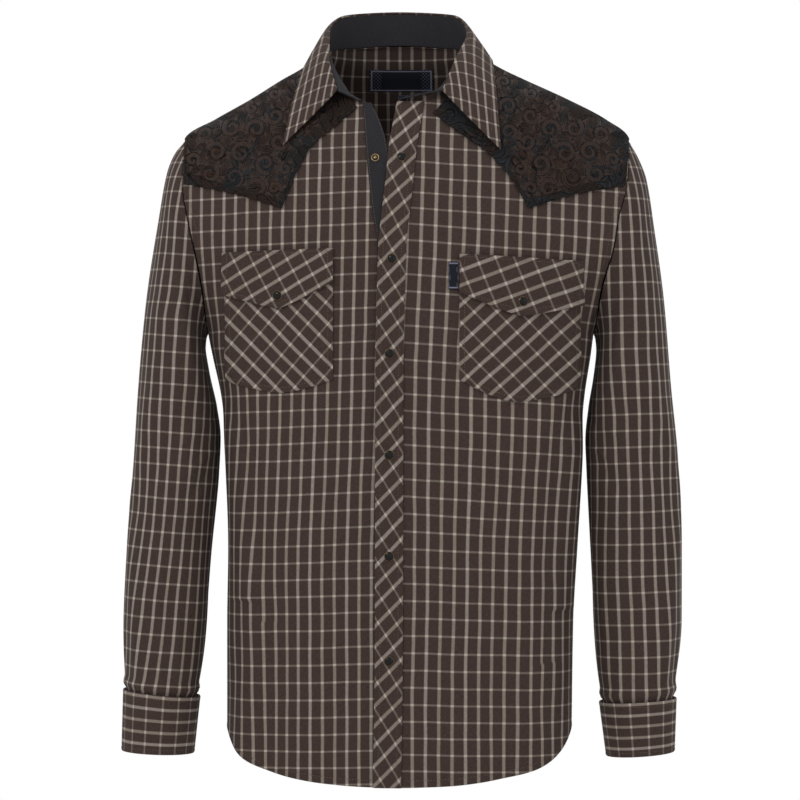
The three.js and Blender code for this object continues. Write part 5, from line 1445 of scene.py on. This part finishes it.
DOME = [(4.56 * math.cos(a), 0.8 + 2.15 * math.sin(a) ** 0.9) for a in np.linspace(0.12, 1.5, 12)]
RIM = [(4.6, 0.0), (5.1, 0.1), (5.15, 0.45), (5.0, 0.78), (4.78, 0.86), (4.6, 0.7)]
snap_master = turned("snap_master", RIM + DOME)
snap_master.data.materials.append(enamel)
snap_master.data.materials.append(brass)
for face in snap_master.data.polygons:
    from_axis = math.hypot(face.center.x, face.center.y) * 1000
    face.material_index = 1 if from_axis > 4.64 or face.center.z < 0.00005 else 0


def snap(name, node, foot, out):
    return set_down(snap_master, name, node, foot, out)


SNAP_Z = [-92, -198, -297, -403, -509, -619]
for i, height in enumerate(SNAP_Z):
    foot, out = at_x(-1, placket_middle(height), height, PLACKET_LIFT + SEAM_GAP)
    snap(f"snap_{i + 1}_cap", f"snap_{i + 1}", foot, out)
for side, pocket in POCKETS.items():
    rise = left_rise(pocket["snap_x"], pocket["snap_z"]) if side > 0 else 0
    lift = rise + FLAP_LIFT + FLAP_SPRING * 0.8 + SEAM_GAP
    foot, out = at_x(-1, pocket["snap_x"], pocket["snap_z"], lift)
    snap(f"pocket_snap_{side_name(side)}_cap", f"pocket_snap_{side_name(side)}", foot, out)
    cuff, lift = cuffs[side, "surface"]
    share = 1 - CUFF_LAP / 2 / (360 + CUFF_LAP)
    for i, along in enumerate((0.3, 0.72)):
        foot, out = cuff.place(np.array(CUFF_START + share * (360 + CUFF_LAP)), np.array(along),
                               lift + 2.9 * share + SEAM_GAP)
        snap(f"cuff_snap_{side_name(side)}_{i + 1}_cap", f"cuff_snap_{side_name(side)}_{i + 1}", foot, out)
foot, out = at_x(-1, -26, -92, FACING_LIFT + SEAM_GAP)
stud_master = turned("stud_master", [(4.0, 0), (4.4, 0.15), (4.4, 0.7), (4.1, 1.0), (3.6, 1.1), (3.2, 0.9), (3.0, 0.3),
                                     (1.9, 0.3), (1.8, 1.5), (1.5, 1.85), (0.9, 2.0)])
stud_master.data.materials.append(brass)
stud_master.data.materials.append(enamel)
for face in stud_master.data.polygons:
    from_axis = math.hypot(face.center.x, face.center.y) * 1000
    face.material_index = 1 if 1.95 < from_axis < 3.05 and face.center.z > 0.0002 else 0
set_down(stud_master, "open_stud_ring", "open_stud", foot, out)
for master in (snap_master, stud_master):
    bpy.data.objects.remove(master)

# ---------------------------------------------------------------------------
# Neck label, size tab and pocket tab: narrow black woven tape, sewn on or caught in a seam, without any writing
# or mark
def label_material(name, bars):
    """Black woven tape with a plain grey border, and with small diamonds or bars inside it."""
    s = Shader(name, 0.7)
    coordinates, u, v = s.uv()
    in_x = s.math("ABSOLUTE", s.math("SUBTRACT", u, 0.5))
    in_y = s.math("ABSOLUTE", s.math("SUBTRACT", v, 0.5))
    edge = s.math("MAXIMUM", s.range(in_x, 0.455, 0.465), s.range(in_y, 0.40, 0.43))
    inner = s.math("MAXIMUM", s.range(in_x, 0.478, 0.484), s.range(in_y, 0.455, 0.47))
    border = s.math("SUBTRACT", edge, inner, clamp=True)
    dots = s.math("MULTIPLY", s.math("SINE", s.math("MULTIPLY", u, bars * 2 * math.pi)),
                  s.math("SINE", s.math("MULTIPLY", v, bars * 0.7 * math.pi)))
    band = s.math("MULTIPLY", s.range(dots, 0.35, 0.6), s.range(in_x, 0.30, 0.34))
    mark = s.math("MAXIMUM", border, s.math("MULTIPLY", band, 0.6), clamp=True)
    grain = s.noise(coordinates, 90.0, 2.0)
    cloth = s.blend(grain, tone("0b0c10"), tone("1b1d26"))
    s.colour(s.blend(s.math("MULTIPLY", mark, 0.85), cloth, tone("6d6c7c")))
    ribs = s.math("SINE", s.math("MULTIPLY", v, 60 * math.pi))
    s.bump(s.math("MULTIPLY", ribs, 0.00003))
    return s.material


label_wide = label_material("label_look", 18.0)
label_small = label_material("tab_look", 5.0)

LABELS = table(
    "name face from_x to_x top bottom lift columns",
    ("neck_label", 1, -34, 37, 19, -3.5, -CLOTH - 0.8, 40),
    ("size_tab", 1, -2, 9, -7.5, -16, -CLOTH - 0.5, 8),
    ("pocket_tab", -1, 50.5, 61, -201, -230, float(left_rise(61, -201)) + LAYER_GAP + LABEL_CLOTH, 8),
)
labels = {}
for row in LABELS:
    u, v = grid(np.linspace(0, 1, row["columns"]), np.linspace(0, 1, 14))
    x, z = mix(row["from_x"], row["to_x"], u), mix(row["bottom"], row["top"], v)
    points, normals = at_x(row["face"], x, z, row["lift"])
    material = label_wide if row["name"] == "neck_label" else label_small
    labels[row["name"]] = shell(row["name"] + "_tape", points, normals, np.stack([u, v], axis=-1) * 1000, LABEL_CLOTH,
                                material, row["name"])

# The stitches of every seam, in cotton thread
sewing_thread = thread_material("sewing_thread_look", "463b34", "6b5e4e")
dark_thread = thread_material("dark_thread_look", "120f0f", "2a1f1b")
body_thread.build("stitching_body", sewing_thread, "plaid_cloth")
sleeve_thread.build("stitching_sleeves", sewing_thread, "plaid_cloth")
yoke_thread.build("stitching_yokes", dark_thread, "yoke_cloth")

# ---------------------------------------------------------------------------
# Cut of each piece of cloth that shows, in metres: width, length, flat area, how it is held and on what. The areas
# were taken from these built pieces, and the widths and lengths are rounded
SHEETS = table(
    "name width length area held rests_on",
    ("front_right_cloth", 0.29, 0.80, 0.185, "hung", ("yoke_lining_cloth",)),
    ("front_left_cloth", 0.30, 0.80, 0.19, "hung", ("yoke_lining_cloth",)),
    ("back_cloth", 0.52, 0.80, 0.38, "hung", ("yoke_lining_cloth",)),
    ("yoke_lining_cloth", 0.40, 0.05, 0.018, "laid", ("back_cloth",)),
    ("yoke_front_right_cloth", 0.23, 0.16, 0.026, "laid", ("front_right_cloth",)),
    ("yoke_front_left_cloth", 0.24, 0.17, 0.029, "laid", ("front_left_cloth",)),
    ("yoke_back_cloth", 0.50, 0.25, 0.10, "laid", ("back_cloth",)),
    ("placket_under_cloth", 0.0245, 0.735, 0.0175, "laid", ("front_right_cloth",)),
    ("placket_over_cloth", 0.0294, 0.745, 0.0218, "laid", ("front_left_cloth",)),
    ("collar_stand_cloth", 0.50, 0.04, 0.013, "folded", ("back_cloth",)),
    ("collar_leaf_cloth", 0.50, 0.085, 0.0285, "folded", ("collar_stand_cloth",)),
    ("sleeve_right_cloth", 0.42, 0.62, 0.168, "hung", ("front_right_cloth", "back_cloth")),
    ("sleeve_left_cloth", 0.43, 0.63, 0.174, "hung", ("front_left_cloth", "back_cloth")),
    ("cuff_right_cloth", 0.29, 0.066, 0.019, "hung", ("sleeve_right_cloth",)),
    ("cuff_left_cloth", 0.28, 0.062, 0.0172, "hung", ("sleeve_left_cloth",)),
    ("sleeve_placket_right_cloth", 0.027, 0.13, 0.0033, "laid", ("sleeve_right_cloth",)),
    ("sleeve_placket_left_cloth", 0.027, 0.13, 0.0034, "laid", ("sleeve_left_cloth",)),
    ("pocket_right_cloth", 0.118, 0.15, 0.0166, "laid", ("front_right_cloth",)),
    ("pocket_left_cloth", 0.132, 0.15, 0.019, "laid", ("front_left_cloth",)),
    ("flap_right_cloth", 0.118, 0.062, 0.0065, "laid", ("pocket_right_cloth",)),
    ("flap_left_cloth", 0.132, 0.064, 0.0075, "laid", ("pocket_left_cloth",)),
    ("neck_label_tape", 0.078, 0.0235, None, "laid", ("yoke_lining_cloth",)),
    ("pocket_tab_tape", 0.0105, 0.029, None, "laid", ("pocket_left_cloth",)),
)
for row in SHEETS:
    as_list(row["rests_on"])

# ---------------------------------------------------------------------------
# Studio: soft lights, a pale floor and a camera straight in front
world = bpy.data.worlds.new("studio")
world.use_nodes = True
world.node_tree.nodes["Background"].inputs[0].default_value = (1, 1, 1, 1)
world.node_tree.nodes["Background"].inputs[1].default_value = 1.0
bpy.context.scene.world = world


def area_light(name, place, aim, size, power):
    lamp = bpy.data.lights.new(name, "AREA")
    lamp.shape = "RECTANGLE"
    lamp.size, lamp.size_y = size
    lamp.energy = power
    made = bpy.data.objects.new(name, lamp)
    made.location = place
    direction = np.array(aim, float) - np.array(place, float)
    made.rotation_euler = Vector(direction).to_track_quat("-Z", "Y").to_euler()
    bpy.context.collection.objects.link(made)


area_light("key", (-1.5, -2.4, 1.2), (0, 0, -0.3), (0.45, 0.45), 22)
area_light("catch", (-1.1, -2.6, 1.5), (0, 0, -0.3), (0.14, 0.14), 3)
area_light("fill", (2.2, -2.2, 0.2), (0, 0, -0.35), (1.6, 2.0), 6)
area_light("top", (0.2, 0.6, 2.2), (0, 0, -0.2), (2.0, 1.4), 12)
area_light("behind", (0, 2.6, 0.8), (0, 0, -0.3), (2.0, 1.6), 10)

bpy.ops.mesh.primitive_plane_add(size=4, location=(0, 0, -1.05))
floor = bpy.context.active_object
floor.name = "floor"
floor_shader = Shader("floor_look", 0.8)
speckle = floor_shader.noise(floor_shader.node("ShaderNodeTexCoord").outputs["Object"], 40.0, 4.0)
floor_shader.colour(floor_shader.blend(speckle, tone("dcdad6"), tone("e4e2de")))
floor.data.materials.append(floor_shader.material)

camera = bpy.data.cameras.new("camera")
camera.lens, camera.sensor_width = 150, 36
viewer = bpy.data.objects.new("camera", camera)
viewer.location = (0, -3.6, -0.3456)
viewer.rotation_euler = (math.pi / 2, 0, 0)
bpy.context.collection.objects.link(viewer)
bpy.context.scene.camera = viewer
bpy.context.scene.view_settings.view_transform = "Standard"
